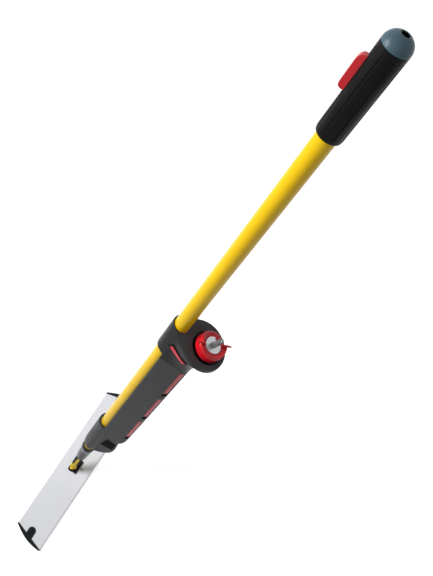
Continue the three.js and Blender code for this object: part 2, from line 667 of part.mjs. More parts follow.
/** The reservoir's solid shape, shrunk by an inset, from its back to its front. */
function bodySolid(inset, back, top) {
  const plan = roundedRectangle(back, BODY_FRONT - inset, BODY_HALF_WIDTH - inset,
    BODY_CORNER - inset, 2);
  return solid(raised(plan, BODY_BOTTOM - 5, top + 5, 7))
    .intersect(solid(across(bodySide(inset, top), -60, 60, 10)));
}

/** The bars that cut, or fill, the windows along one front corner, from their front to their back. */
function windowBars(side, toFront, toBack, lowTrim, highTrim, outer) {
  const [y0, y1] = side < 0 ? [-toBack, toFront] : [-toFront, toBack];
  const inner = BODY_CORNER - 6;
  const corner = [BODY_FRONT - BODY_CORNER, side * (BODY_HALF_WIDTH - BODY_CORNER)];
  return Array.from({ length: WINDOW_COUNT }, (_, i) => {
    const low = WINDOW_BOTTOM + i * WINDOW_PITCH;
    const bar = block([inner, y0, low + lowTrim], [outer, y1, low + WINDOW_LENGTH - highTrim]);
    return solid(bar.rotateZ(side * WINDOW_ANGLE * RADIAN).translate(corner[0], corner[1], 0));
  });
}

/** The height of each shroud screw, all in the right half. */
const SCREW_HEIGHTS = [0.15, 0.5, 0.85]
  .map((share) => BODY_BOTTOM + share * (BODY_TOP - BODY_BOTTOM));
const SCREW_X = 10;

/** One half of the reservoir's shroud. */
function shroudHalf(side) {
  const shell = cut(bodySolid(0, BODY_BACK, BODY_TOP),
    bodySolid(SHROUD_WALL, TANK_BACK - SEAT, BODY_TOP + 20));
  const channel = solid(rod(POLE_RADIUS + SEAT, BODY_BOTTOM - 5, BODY_TOP + 5, 36));
  const toBack = RIB_WIDTH / 2 + SEAT;
  const windows = windowBars(side, WINDOW_WIDTH - toBack, toBack, 0, 0, BODY_CORNER + 6);
  const keep = solid(block(side > 0 ? [-5, SEAT / 2, 0] : [-5, -60, 0],
    side > 0 ? [90, 60, BODY_TOP + 10] : [90, -SEAT / 2, BODY_TOP + 10]));
  const screws = SCREW_HEIGHTS.map((z) => solid(rodAlongY(SCREW_RADIUS + SEAT, 2 * SCREW_DEPTH,
    [SCREW_X, BODY_HALF_WIDTH, z], 20)));
  return geometryOf(cut(shell, channel, ...windows, ...screws).intersect(keep));
}

/** The tank: an open-topped bottle whose corner ribs stand in the windows. */
function tank() {
  const gap = SHROUD_WALL + SEAT;
  const outside = bodySolid(gap, TANK_BACK, TANK_TOP);
  const ribs = [-1, 1].flatMap((side) => windowBars(side, RIB_WIDTH / 2, RIB_WIDTH / 2,
    WINDOW_DARK_END, SEAT, BODY_CORNER - 1));
  const inside = bodySolid(gap + TANK_WALL, TANK_BACK + TANK_WALL, TANK_TOP - TANK_WALL);
  const mouth = solid(onFillAxis(rod(NECK_FOOT_BORE, -80, 0, 32)));
  return geometryOf(cut(joined(outside, ...ribs), inside, mouth));
}

function buildReservoir(group) {
  addPart(group, 'shroud_left', shroudHalf(-1), GREY);
  addPart(group, 'shroud_right', shroudHalf(1), GREY);
  addPart(group, 'tank', tank(), TANK_RED);
  SCREW_HEIGHTS.forEach((z, i) => {
    const head = turned([[0, 0], [SCREW_RADIUS, 0], [SCREW_RADIUS, 0.9], [0.9, 1.1], [0.9, 0.5],
      [0, 0.5]], 14).rotateX(-Math.PI / 2);
    addPart(group, `shroud_screw_${i + 1}`,
      head.translate(SCREW_X, BODY_HALF_WIDTH - SCREW_DEPTH + 0.1, z), STEEL);
  });
}

// ---------- head and fill cap ----------

/** Height of the head's top face above a given x. */
const headTop = (x) => HEAD_HEIGHT - Math.tan(HEAD_TILT * RADIAN) * x;

/** Moves a geometry from its own axis to the fill axis, with z = 0 on the head's top face. */
const onFillAxis = (geometry) => geometry.rotateY(HEAD_TILT * RADIAN)
  .translate(FILL_CENTRE, 0, headTop(FILL_CENTRE));

const HEAD_LOW = BODY_TOP + SEAT;
const HEAD_BACK_CORNER = 4;
const HEAD_RAY_CENTRE = 30;
const HEAD_RAYS = 44;
const PANE_PROUD = 0.8;

/** The head's outer or inner shape: a waist that flares to the round, sloping top. */
function headShape(inset, low, drop) {
  const corners = [[BODY_FRONT - BODY_CORNER, BODY_CORNER],
    [BODY_BACK + HEAD_BACK_CORNER, HEAD_BACK_CORNER]];
  const waist = convexOutline([
    ...circlePoints(0, 0, HEAD_COLLAR_RADIUS - inset),
    ...corners.flatMap(([x, radius]) => [-1, 1].flatMap((side) =>
      circlePoints(x, side * (BODY_HALF_WIDTH - radius), radius - inset))),
  ]);
  const brim = convexOutline([
    ...circlePoints(0, 0, HEAD_COLLAR_RADIUS - inset),
    ...circlePoints(HEAD_CENTRE, 0, HEAD_RADIUS - inset),
  ]);
  const from = rayPoints(waist, HEAD_RAY_CENTRE, HEAD_RAYS);
  const to = rayPoints(brim, HEAD_RAY_CENTRE, HEAD_RAYS);
  const ring = (flare, height) => from.map((start, i) => {
    const point = start.clone().lerp(to[i], flare);
    return new THREE.Vector3(point.x, point.y, height(point.x));
  });
  const under = (x) => headTop(x) - HEAD_RIM - drop;
  const levels = [0, 0.3, 0.6, 0.85, 1];
  const rings = levels.map((share) => ring(share ** 2.4, (x) => low + (under(x) - low) * share));
  rings.push(ring(1, (x) => headTop(x) - drop));
  return solid(loft(rings));
}

/** The small window in the head's shoulder: its ends, height, place and turn. */
const HEAD_WINDOW = {
  x0: 6, x1: 43, height: 6.5, z0: HEAD_HEIGHT - 34, z1: HEAD_HEIGHT - 51,
  y: BODY_HALF_WIDTH + 4, lean: 8,
};

/** A bar along the head's shoulder, for the window's cut or its pane. */
function shoulderBar(side, trim, inner, outer) {
  const { x0, x1, height, z0, z1, y, lean } = HEAD_WINDOW;
  const length = Math.hypot(x1 - x0, z1 - z0);
  const bar = block([-length / 2 + trim, inner, -height / 2 + trim],
    [length / 2 - trim, outer, height / 2 - trim]);
  if (side < 0) bar.rotateZ(Math.PI);
  bar.rotateZ(side * lean * RADIAN);
  bar.rotateY(Math.atan2(z0 - z1, x1 - x0));
  return solid(bar.translate((x0 + x1) / 2, side * y, (z0 + z1) / 2));
}

/** The black head: collar, flared shoulder, sloping top, and the well round the neck. */
function headShell() {
  const outer = headShape(0, HEAD_LOW, 0);
  const inner = headShape(HEAD_WALL, HEAD_LOW - 2, HEAD_WALL + 0.6);
  const collar = solid(rod(HEAD_COLLAR_RADIUS - 0.2, HEAD_LOW, HEAD_HEIGHT + 6, 36)).intersect(outer);
  const wellBody = solid(onFillAxis(rod(WELL_RADIUS + 2.6, -WELL_DEPTH - 2.6, -0.5, 36)))
    .intersect(outer);
  const well = solid(onFillAxis(rod(WELL_RADIUS, -WELL_DEPTH, 10, 36)));
  const neckHole = solid(onFillAxis(rod(NECK_RADIUS + SEAT, -30, 10, 32)));
  const poleBore = solid(rod(POLE_RADIUS + SEAT, HEAD_LOW - 5, HEAD_HEIGHT + 20, 36));
  const behind = solid(block([-40, -60, HEAD_LOW - 5], [BODY_BACK, 60, HEAD_COLLAR_LOW]));
  const windows = [-1, 1].map((side) => shoulderBar(side, 0, -8, 14));
  return geometryOf(cut(joined(cut(outer, inner), collar, wellBody), well, neckHole, poleBore, behind,
    ...windows));
}

/** The pane in the shoulder window, which follows the shoulder and stands a little proud of it. */
function headPane(side) {
  const bar = shoulderBar(side, SEAT, -10, 14);
  const inside = headShape(HEAD_WALL + 0.8, HEAD_LOW - 2, HEAD_WALL + 0.8);
  return geometryOf(cut(bar.intersect(headShape(-PANE_PROUD, HEAD_LOW, 0)), inside));
}

const NECK_LENGTH = (headTop(FILL_CENTRE) - TANK_TOP) / Math.cos(HEAD_TILT * RADIAN);

/** The funnel neck from the tank's mouth to its rim. */
function tankNeck() {
  const foot = -NECK_LENGTH - 12;
  const funnel = solid(onFillAxis(turned([[NECK_FOOT_BORE, foot], [NECK_FOOT_BORE + 2, foot],
    [NECK_FOOT_BORE + 2, -NECK_LENGTH + 4], [NECK_RADIUS, NECK_SHOULDER], [NECK_RADIUS, NECK_RISE],
    [NECK_BORE, NECK_RISE], [NECK_BORE, NECK_SHOULDER], [NECK_FOOT_BORE, -NECK_LENGTH + 6]], 32)));
  const below = solid(block([-20, -60, TANK_TOP - 60], [120, 60, TANK_TOP + SEAT]));
  return geometryOf(cut(funnel, below));
}

/** The screw cap: a notched skirt, a top with a central hole, and two finger wings. */
function fillCap() {
  const low = FILL_CAP_LIFT;
  const high = low + FILL_CAP_HEIGHT;
  const under = NECK_RISE + 2 + 2 * SEAT;
  const body = solid(turned([[NIPPLE_RADIUS + SEAT, under], [NECK_RADIUS + RUN, under],
    [NECK_RADIUS + RUN, low], [FILL_CAP_RADIUS, low], [FILL_CAP_RADIUS, high - 2],
    [FILL_CAP_RADIUS - 2, high], [FILL_CAP_RADIUS - 7, high - 1], [DISC_RADIUS + 1, high - 3],
    [NIPPLE_RADIUS + SEAT, high - 3]], 36));
  const notches = Array.from({ length: 12 }, (_, i) => {
    const notch = rod(1.5, low - 1, high - 4, 8).translate(FILL_CAP_RADIUS + 0.4, 0, 0);
    return solid(notch.rotateZ((2 * Math.PI * i) / 12));
  });
  const wings = [0, 180].map((turn) => {
    const outline = new THREE.Shape();
    outline.moveTo(0, 0);
    outline.lineTo(WING_LENGTH - 7, 2);
    outline.lineTo(WING_LENGTH - 1, 6);
    outline.absarc(WING_LENGTH - 1, 8, 2, -Math.PI / 2, Math.PI / 2);
    outline.lineTo(WING_LENGTH - 8, WING_HEIGHT);
    outline.lineTo(0, WING_HEIGHT - 3);
    const wing = across(outline, -WING_THICK / 2, WING_THICK / 2, 6)
      .translate(FILL_CAP_RADIUS - 8.5, 0, high - 3.5);
    return solid(wing.rotateZ((WING_ANGLE + turn) * RADIAN));
  });
  return joined(cut(body, ...notches), ...wings);
}

const DISC_LOW = FILL_CAP_LIFT + FILL_CAP_HEIGHT - 3 + SEAT;
const NIPPLE_HIGH = DISC_LOW + NIPPLE_LENGTH;

/** The steel disc on the cap, with a notch in its rim. */
function couplingDisc() {
  const disc = solid(tube(DISC_RADIUS, NIPPLE_RADIUS + SEAT, DISC_LOW, DISC_LOW + DISC_THICK));
  const notch = solid(block([-3, DISC_RADIUS - 3.5, DISC_LOW - 1], [3, DISC_RADIUS + 3, DISC_LOW + 9]));
  return cut(disc, notch);
}

/** The steel nipple: a hollow stem with a locking groove behind its nose. */
function couplingNipple() {
  const foot = NECK_RISE + 2 + 2 * SEAT - 1;
  const [bore, outer] = [POPPET_RADIUS + RUN, NIPPLE_RADIUS];
  return turned([[bore, foot], [outer, foot], [outer, NIPPLE_HIGH - 10], [outer - 1.2, NIPPLE_HIGH - 9],
    [outer - 1.2, NIPPLE_HIGH - 7], [outer, NIPPLE_HIGH - 6], [outer, NIPPLE_HIGH - 1],
    [outer - 1, NIPPLE_HIGH], [bore, NIPPLE_HIGH]]);
}

/** The poppet that the filling hose pushes in. */
function nipplePoppet() {
  const low = NIPPLE_HIGH - 12;
  return turned([[0, low], [POPPET_RADIUS, low], [POPPET_RADIUS, NIPPLE_HIGH - 1.2],
    [POPPET_RADIUS - 0.8, NIPPLE_HIGH - 0.6], [0, NIPPLE_HIGH - 0.6]], 16);
}

function buildHead(group) {
  addPart(group, 'head_shell', headShell(), BLACK);
  addPart(group, 'head_pane_left', headPane(-1), TANK_RED);
  addPart(group, 'head_pane_right', headPane(1), TANK_RED);
  addPart(group, 'tank_neck', tankNeck(), TANK_RED);
  addPart(group, 'cap_gasket', onFillAxis(tube(NECK_RADIUS - SEAT, NECK_BORE, NECK_RISE + SEAT,
    NECK_RISE + 2)), BLACK);
  addPart(group, 'fill_cap', onFillAxis(geometryOf(fillCap())), RED);
  addPart(group, 'coupling_disc', onFillAxis(geometryOf(couplingDisc())), STEEL);
  addPart(group, 'coupling_nipple', onFillAxis(couplingNipple()), STEEL);
  addPart(group, 'nipple_poppet', onFillAxis(nipplePoppet()), STEEL);
  addPart(group, 'poppet_spring', onFillAxis(coil(POPPET_RADIUS - 0.7, 0.5, DISC_LOW,
    NIPPLE_HIGH - 12 - SEAT, 5)), STEEL);
}

// ---------- grip and trigger ----------

const POCKET_HALF = TRIGGER_WIDTH / 2 + RUN;
const TRIGGER_ROOM = 4;           // below the paddle, which swings down as it is squeezed

/** The ribbed grip, with a pocket for the trigger and a bore for the pivot pin. */
function gripSleeve() {
  const outer = solid(turned([[0, GRIP_BOTTOM], [GRIP_RADIUS - 2.5, GRIP_BOTTOM],
    [GRIP_RADIUS - 0.8, GRIP_BOTTOM + 1.5], [GRIP_RADIUS, GRIP_BOTTOM + 5], [GRIP_RADIUS, GRIP_TOP],
    [0, GRIP_TOP]], 40));
  const poleBore = solid(rod(POLE_RADIUS + SEAT, GRIP_BOTTOM - 5, POLE_TOP + SEAT, 32));
  const upperBore = solid(rod(GRIP_BORE, POLE_TOP - 5, GRIP_TOP + 5, 28));
  const pocket = solid(block([-GRIP_RADIUS - 5, -POCKET_HALF, TRIGGER_BOTTOM - TRIGGER_ROOM],
    [0, POCKET_HALF, TRIGGER_TOP + 1]));
  const pinBore = solid(rodAlongY(TRIGGER_PIN_RADIUS + SEAT, 20, [TRIGGER_PIVOT_X, 0, TRIGGER_PIVOT_Z]));
  const grooves = Array.from({ length: GROOVE_COUNT }, (_, i) => {
    const angle = (2 * Math.PI * (i + 0.5)) / GROOVE_COUNT;
    const groove = rod(GROOVE_RADIUS, GRIP_BOTTOM + 9, GRIP_TOP - 7, 8)
      .translate(GRIP_RADIUS + 0.4, 0, 0);
    return solid(groove.rotateZ(angle));
  });
  return geometryOf(cut(outer, poleBore, upperBore, pocket, pinBore, ...grooves));
}

/** The dome on the grip's end, with a plug into the bore and a hole for hanging. */
function gripEndCap() {
  const low = GRIP_TOP + SEAT;
  const plug = GRIP_BORE - SEAT;
  const dome = Array.from({ length: 7 }, (_, i) => {
    const angle = (i / 6) * Math.acos((HANG_HOLE_RADIUS + 1) / GRIP_RADIUS);
    return [GRIP_RADIUS * Math.cos(angle), low + 1 + (DOME_HEIGHT - 1.3) * Math.sin(angle)];
  });
  const high = dome[6][1];
  return turned([[HANG_HOLE_RADIUS, low - 10], [plug, low - 10], [plug, low], [GRIP_RADIUS, low],
    ...dome, [HANG_HOLE_RADIUS, high - 0.6]], 36);
}

/** The trigger: a curved paddle outside, and an arm inside that lifts the rod. */
function triggerLever() {
  const face = -GRIP_RADIUS;
  const outline = new THREE.Shape();
  outline.moveTo(face + 2, TRIGGER_BOTTOM + 1);
  outline.lineTo(face + 2, TRIGGER_PIVOT_Z - 12);
  outline.lineTo(TRIGGER_PIVOT_X + 3, TRIGGER_PIVOT_Z - 3);
  outline.lineTo(3, TRIGGER_PIVOT_Z - 3);
  outline.lineTo(3, TRIGGER_PIVOT_Z + 3);
  outline.lineTo(TRIGGER_PIVOT_X + 1, TRIGGER_PIVOT_Z + 3);
  outline.lineTo(face + 2, TRIGGER_TOP - 1);
  outline.lineTo(face - TRIGGER_PROUD + 5, TRIGGER_TOP - 2);
  outline.quadraticCurveTo(face - TRIGGER_PROUD, TRIGGER_TOP - 5, face - TRIGGER_PROUD, TRIGGER_TOP - 14);
  outline.lineTo(face - TRIGGER_PROUD, TRIGGER_BOTTOM + 7);
  outline.quadraticCurveTo(face - TRIGGER_PROUD, TRIGGER_BOTTOM, face - 2, TRIGGER_BOTTOM);
  const lever = solid(across(outline, -TRIGGER_WIDTH / 2, TRIGGER_WIDTH / 2, 6));
  const pivot = solid(rodAlongY(TRIGGER_PIN_RADIUS + RUN, 30, [TRIGGER_PIVOT_X, 0, TRIGGER_PIVOT_Z]));
  const link = solid(rodAlongY(LINK_PIN_RADIUS + SEAT, 30, [0, 0, TRIGGER_PIVOT_Z], 20));
  const forkSlot = solid(block([-6, -ROD_RADIUS - RUN, TRIGGER_PIVOT_Z - 10],
    [10, ROD_RADIUS + RUN, TRIGGER_PIVOT_Z + 10]));
  return geometryOf(cut(lever, pivot, link, forkSlot));
}

/** The long pull rod, with an eye that the link pin passes through. */
function pullRod() {
  const shaft = solid(rod(ROD_RADIUS, PISTON_FOOT + PISTON_LENGTH + SEAT, TRIGGER_PIVOT_Z, 20));
  const eye = solid(rodAlongY(3.6, 2 * ROD_RADIUS - 0.4, [0, 0, TRIGGER_PIVOT_Z], 24));
  const slot = solid(block([-LINK_PIN_RADIUS - 0.7, -10, TRIGGER_PIVOT_Z - LINK_PIN_RADIUS - RUN],
    [LINK_PIN_RADIUS + 0.7, 10, TRIGGER_PIVOT_Z + LINK_PIN_RADIUS + RUN]));
  return geometryOf(cut(joined(shaft, eye), slot));
}

function buildGrip(group) {
  addPart(group, 'grip_sleeve', gripSleeve(), BLACK);
  addPart(group, 'grip_end_cap', gripEndCap(), SLATE);
  addPart(group, 'trigger_lever', triggerLever(), RED);
  addPart(group, 'trigger_pin', rodAlongY(TRIGGER_PIN_RADIUS, 19,
    [TRIGGER_PIVOT_X, 0, TRIGGER_PIVOT_Z], 20), STEEL);
  addPart(group, 'link_pin',
    rodAlongY(LINK_PIN_RADIUS, TRIGGER_WIDTH - 1, [0, 0, TRIGGER_PIVOT_Z], 16), STEEL);
  addPart(group, 'pull_rod', pullRod(), BLACK);
}

// ---------- pole and pump ----------

/** A disc inside the pole that keeps the rod central. */
const rodGuide = (z) => tube(POLE_RADIUS - POLE_WALL - SEAT, ROD_RADIUS + RUN, z, z + 6, 20);

/** The pump's barrel, closed below but for its outlet. */
function pumpBarrel() {
  const outer = POLE_RADIUS - POLE_WALL - SEAT;
  return turned([[2, PUMP_BOTTOM], [outer, PUMP_BOTTOM], [outer, PUMP_TOP], [PUMP_BORE, PUMP_TOP],
    [PUMP_BORE, PUMP_BOTTOM + 4], [2, PUMP_BOTTOM + 4]], 24);
}

/** The gland that closes the barrel round the rod. */
function pumpGland() {
  const outer = POLE_RADIUS - POLE_WALL - SEAT;
  const bore = ROD_RADIUS + RUN;
  const plug = PUMP_BORE - SEAT;
  return turned([[bore, PUMP_TOP - 8], [plug, PUMP_TOP - 8], [plug, PUMP_TOP + SEAT],
    [outer, PUMP_TOP + SEAT], [outer, PUMP_TOP + 4], [bore, PUMP_TOP + 4]], 24);
}

/** The piston with a groove for its seal. */
function pumpPiston() {
  const [low, high] = [PISTON_FOOT, PISTON_FOOT + PISTON_LENGTH];
  const radius = PUMP_BORE - RUN;
  const groove = radius - 2;
  return turned([[0, low], [radius, low], [radius, low + 3], [groove, low + 3], [groove, low + 7],
    [radius, low + 7], [radius, high], [0, high]], 24);
}

function buildPump(group) {
  addPart(group, 'pole_tube',
    tube(POLE_RADIUS, POLE_RADIUS - POLE_WALL, POLE_BOTTOM, POLE_TOP, 40), YELLOW);
  const span = GRIP_BOTTOM - PUMP_TOP;
  ['low', 'middle', 'high'].forEach((name, i) =>
    addPart(group, `rod_guide_${name}`, rodGuide(PUMP_TOP + span * (0.25 + 0.35 * i)), BLACK));
  addPart(group, 'pump_barrel', pumpBarrel(), BLACK);
  addPart(group, 'pump_gland', pumpGland(), BLACK);
  addPart(group, 'pump_piston', pumpPiston(), BLACK);
  const groove = PUMP_BORE - RUN - 2;
  addPart(group, 'piston_seal', tube(PUMP_BORE - RUN / 2, groove + SEAT / 2,
    PISTON_FOOT + 3 + SEAT, PISTON_FOOT + 7 - SEAT), BLACK);
  addPart(group, 'pump_spring', coil(PUMP_BORE - 3, SPRING_WIRE, PISTON_FOOT + PISTON_LENGTH + SEAT,
    PUMP_TOP - 8 - SEAT, 6), STEEL);
}

// ---------- assembly ----------

const mop = new THREE.Group();
mop.add(buildFrame());

const cross = new THREE.Group();
cross.position.z = PLATE_HIGH + LOWER_PIN_HEIGHT;
cross.rotation.x = TILT * RADIAN;
addPart(cross, 'cross_block', crossBlock(), CROSS_YELLOW);
addPart(cross, 'upper_pin', rodAlongY(PIN_RADIUS, EAR_SPAN + 1, [0, 0, PIN_SPACING]), STEEL);
mop.add(cross);

const swing = new THREE.Group();
swing.position.z = PIN_SPACING;
swing.rotation.z = -Math.PI / 2;
cross.add(swing);

const handle = new THREE.Group();
handle.rotation.x = -SWING * RADIAN;
swing.add(handle);
buildAdapter(handle);
buildNozzles(handle);
buildReservoir(handle);
buildHead(handle);
buildGrip(handle);
buildPump(handle);

export default mop;
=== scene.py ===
"""The looks of a flat-frame spray mop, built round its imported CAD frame. All units are metres."""

from __future__ import annotations

import json
import logging
import math
from collections.abc import Iterator
from contextlib import contextmanager
from dataclasses import dataclass
from enum import Enum
from functools import partialmethod

import bmesh
import bpy
from mathutils import Matrix, Vector
from mathutils.bvhtree import BVHTree

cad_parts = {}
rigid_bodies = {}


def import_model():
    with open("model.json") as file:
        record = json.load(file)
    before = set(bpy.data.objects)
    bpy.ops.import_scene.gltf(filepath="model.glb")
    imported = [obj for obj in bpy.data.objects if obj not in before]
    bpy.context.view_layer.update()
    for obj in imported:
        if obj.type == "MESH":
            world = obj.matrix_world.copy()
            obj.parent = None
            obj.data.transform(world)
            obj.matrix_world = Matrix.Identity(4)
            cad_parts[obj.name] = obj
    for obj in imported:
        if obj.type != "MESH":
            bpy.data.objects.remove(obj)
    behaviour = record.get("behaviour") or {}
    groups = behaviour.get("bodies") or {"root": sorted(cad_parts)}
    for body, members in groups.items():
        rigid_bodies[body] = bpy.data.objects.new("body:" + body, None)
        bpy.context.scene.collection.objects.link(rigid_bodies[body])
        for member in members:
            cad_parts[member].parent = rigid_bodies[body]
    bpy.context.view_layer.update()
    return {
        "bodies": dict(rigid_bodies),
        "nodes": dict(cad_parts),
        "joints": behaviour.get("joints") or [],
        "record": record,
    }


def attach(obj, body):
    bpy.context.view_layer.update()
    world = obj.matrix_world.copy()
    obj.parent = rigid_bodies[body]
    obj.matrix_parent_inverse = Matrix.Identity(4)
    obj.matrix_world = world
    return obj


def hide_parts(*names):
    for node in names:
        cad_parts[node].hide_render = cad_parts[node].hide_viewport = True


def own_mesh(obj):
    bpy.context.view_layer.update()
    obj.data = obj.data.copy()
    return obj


LOG = logging.getLogger("spray_mop")
MM = 0.001
DOUBLE = 1e-7  # points of a new mesh closer than this are one
SEAM = 2e-6  # points of a CAD mesh closer than this are one
FLAT_ANGLE = 0.6  # degrees that faces may bend by and still be merged
BENT_ANGLE = 38  # degrees past which an edge is rounded
WHITE = (1, 1, 1, 1)
Point = tuple[float, float]
Point3 = tuple[float, float, float]
Color = tuple[int, int, int]
Piece = bpy.types.Object


# ---------- shader maths ----------


class Shade:
    """A shader value that adds Math nodes as it is used in arithmetic."""

    def __init__(self, tree: bpy.types.NodeTree, socket: bpy.types.NodeSocket) -> None:
        """Wraps one output socket of a tree."""
        self.tree = tree
        self.socket = socket

    def _with(self, operation: str, other: Shade | float) -> Shade:
        """Adds a Math node for this value and then another."""
        return Bench(self.tree).node("ShaderNodeMath", {"operation": operation},
                                     {0: self, 1: other})

    def _after(self, operation: str, other: float) -> Shade:
        """Adds a Math node for a number and then this value."""
        return Bench(self.tree).node("ShaderNodeMath", {"operation": operation},
                                     {0: other, 1: self})

    __add__ = __radd__ = partialmethod(_with, "ADD")
    __sub__ = partialmethod(_with, "SUBTRACT")
    __rsub__ = partialmethod(_after, "SUBTRACT")
    __mul__ = __rmul__ = partialmethod(_with, "MULTIPLY")
    __truediv__ = partialmethod(_with, "DIVIDE")
    __pow__ = partialmethod(_with, "POWER")

    def above(self, low: float, high: float) -> Shade:
        """Goes from 0 at low to 1 at high, and stays within them."""
        share = (self - low) / (high - low)
        share.socket.node.use_clamp = True
        return share


class Bench:
    """A node tree while it is being built."""

    def __init__(self, tree: bpy.types.NodeTree) -> None:
        """Starts work on a tree."""
        self.tree = tree

    def node(self, kind: str, settings: dict | None = None, inputs: dict | None = None,
             output: int | str = 0) -> Shade:
        """Adds any node.

        Args:
            kind: the node's type.
            settings: properties that are set first.
            inputs: socket name or number to a value, a Shade or a list of Shades.
            output: which output to return.

        Returns:
            That output.
        """
        node = self.tree.nodes.new(kind)
        for key, value in (settings or {}).items():
            setattr(node, key, value)
        for key, value in (inputs or {}).items():
            for item in value if isinstance(value, list) else [value]:
                if isinstance(item, Shade):
                    self.tree.links.new(item.socket, node.inputs[key])
                else:
                    node.inputs[key].default_value = item
        return Shade(self.tree, node.outputs[output])

    def finish(self, end: str, surface: Shade) -> None:
        """Links a shader to the tree's output node."""
        self.tree.links.new(surface.socket, self.tree.nodes[end].inputs["Surface"])


class Palette(Bench):
    """One material's node tree while it is being built."""

    def coordinates(self, stretch: Point3 = (1, 1, 1)) -> Shade:
        """Object coordinates, stretched."""
        place = self.node("ShaderNodeTexCoord", output="Object")
        return self.node("ShaderNodeMapping", {}, {"Vector": place, "Scale": stretch})

    def noise(self, scale: float, detail: float = 3, where: Shade | None = None) -> Shade:
        """A noise value about 0.5."""
        return self.node("ShaderNodeTexNoise", {}, {
            "Vector": where or self.coordinates(), "Scale": scale, "Detail": detail})

    def edges(self, radius: float) -> Shade:
        """1 along convex and concave edges, and 0 on open surface."""
        soft = self.node("ShaderNodeBevel", {"samples": 4}, {"Radius": radius})
        plain = self.node("ShaderNodeNewGeometry", output="Normal")
        same = self.node("ShaderNodeVectorMath", {"operation": "DOT_PRODUCT"}, {
            0: soft, 1: plain}, "Value")
        return (1 - same).above(0.03, 0.2)

    def blend(self, share: Shade, first: Shade | tuple, second: Shade | tuple) -> Shade:
        """Mixes two colours."""
        return self.node("ShaderNodeMix", {"data_type": "RGBA"},
                         {0: share, 6: first, 7: second}, 2)


def linear(color: Color, gain: float = 1.0) -> tuple[float, float, float, float]:
    """An sRGB colour from 0 to 255 as a linear one, made lighter or darker."""
    def one(value: int) -> float:
        share = value / 255
        base = share / 12.92 if share <= 0.04045 else ((share + 0.055) / 1.055) ** 2.4
        return min(1.0, base * gain)
    return one(color[0]), one(color[1]), one(color[2]), 1.0


# ---------- finishes ----------


class Surface(Enum):
    """The kinds of surface texture."""

    MOULDED = "fine spark-eroded texture"
    GLOSS = "smooth, with a faint orange peel"
    BRUSHED = "turned or drawn metal"
    RUBBER = "matt rubber with pores"
    TAPE = "woven backing of hook tape"


@dataclass(frozen=True)
class Finish:
    """One finish: its colour, gloss and surface texture, and its slot if not called the same."""

    CLOUDS = 14  # noise scales per metre, from the widest marks to the finest
    SCUFFS = 55
    SPECKS = 160
    EDGE = 0.7 * MM  # how far wear reaches from an edge

    name: str
    color: Color
    surface: Surface
    roughness: float
    metallic: float = 0.0
    coat: float = 0.0
    mottle: float = 0.06
    wear: float = 0.25
    specular: float = 0.5
    slot: str = ""

    def tint(self, palette: Palette, color: Shade) -> Shade:
        """Changes the colour over the surface, where a finish has more than one zone."""
        return color

    def grain(self, palette: Palette) -> tuple[Shade, float]:
        """The height of the surface texture, and its depth in metres."""
        if self.surface is Surface.MOULDED:
            fine = palette.noise(2600, 2)
            coarse = palette.noise(900, 2)
            return fine * 0.6 + coarse * 0.4, 0.12 * MM
        if self.surface is Surface.GLOSS:
            return palette.noise(420, 2) * 0.5 + palette.noise(60, 1) * 0.5, 0.06 * MM
        if self.surface is Surface.BRUSHED:
            return palette.noise(900, 2, palette.coordinates((1, 1, 0.12))), 0.05 * MM
        if self.surface is Surface.RUBBER:
            cells = palette.node("ShaderNodeTexVoronoi", {}, {
                "Vector": palette.coordinates(), "Scale": 1500})
            return cells * 0.5 + palette.noise(3000, 2) * 0.5, 0.1 * MM
        weave = palette.node("ShaderNodeTexWave", {"wave_type": "BANDS", "bands_direction": "X"}, {
            "Vector": palette.coordinates(), "Scale": 420, "Distortion": 2.0, "Detail": 2.0})
        return weave * 0.5 + palette.noise(1800, 3) * 0.5, 0.3 * MM

    def build(self) -> bpy.types.Material:
        """Makes the material.

        Returns:
            A material whose colour, gloss and bump vary over the surface.
        """
        material = bpy.data.materials.new(self.name)
        material.use_nodes = True
        palette = Palette(material.node_tree)
        shader = palette.tree.nodes["Principled BSDF"]
        base, pale, dark = (linear(self.color, 1 + sign * self.mottle) for sign in (0, 1, -1))
        clouds = palette.noise(self.CLOUDS, 4)
        specks = palette.noise(self.SPECKS, 3)
        color = palette.blend(clouds.above(0.35, 0.65), dark, pale)
        color = palette.blend(specks.above(0.62, 0.75) * 0.35, color, base)
        color = self.tint(palette, color)
        worn = palette.edges(self.EDGE) * specks.above(0.3, 0.6) * self.wear
        rubbed = tuple(min(1.0, value * 1.6 + 0.03) for value in base[:3]) + (1.0,)
        color = palette.blend(worn, color, rubbed)
        scuff = palette.noise(self.SCUFFS, 5).above(0.45, 0.75)
        roughness = clouds * 0.08 + scuff * 0.10 + (self.roughness - 0.08) - worn * 0.1
        height, depth = self.grain(palette)
        bump = palette.node("ShaderNodeBump", {}, {
            "Height": height, "Distance": depth, "Strength": 0.6})
        for name, value in {"Metallic": self.metallic, "Coat Weight": self.coat,
                            "Coat Roughness": 0.12, "Specular IOR Level": self.specular}.items():
            shader.inputs[name].default_value = value
        for name, made in {"Base Color": color, "Roughness": roughness, "Normal": bump}.items():
            palette.tree.links.new(made.socket, shader.inputs[name])
        return material


@dataclass(frozen=True)
class PaintedLightTopFinish(Finish):
    """A dark moulding whose top face is painted paler than its sides: painted light where the lamp
    falls on the top face.
    """

    # painted light: this paler grey on the top face stands in for lamp light falling on it
    top: Color = (74, 74, 77)
    axis: Point3 = (0.0, 0.0, 1.0)
    level: float = 0.0

    def tint(self, palette: Palette, color: Shade) -> Shade:
        """Paints the top face paler, as painted light falling on it."""
        height = palette.node("ShaderNodeVectorMath", {"operation": "DOT_PRODUCT"}, {
            0: palette.node("ShaderNodeTexCoord", output="Object"), 1: self.axis}, "Value")
        share = height.above(self.level - 0.5 * MM, self.level - 0.1 * MM)
        return palette.blend(share, color, linear(self.top))


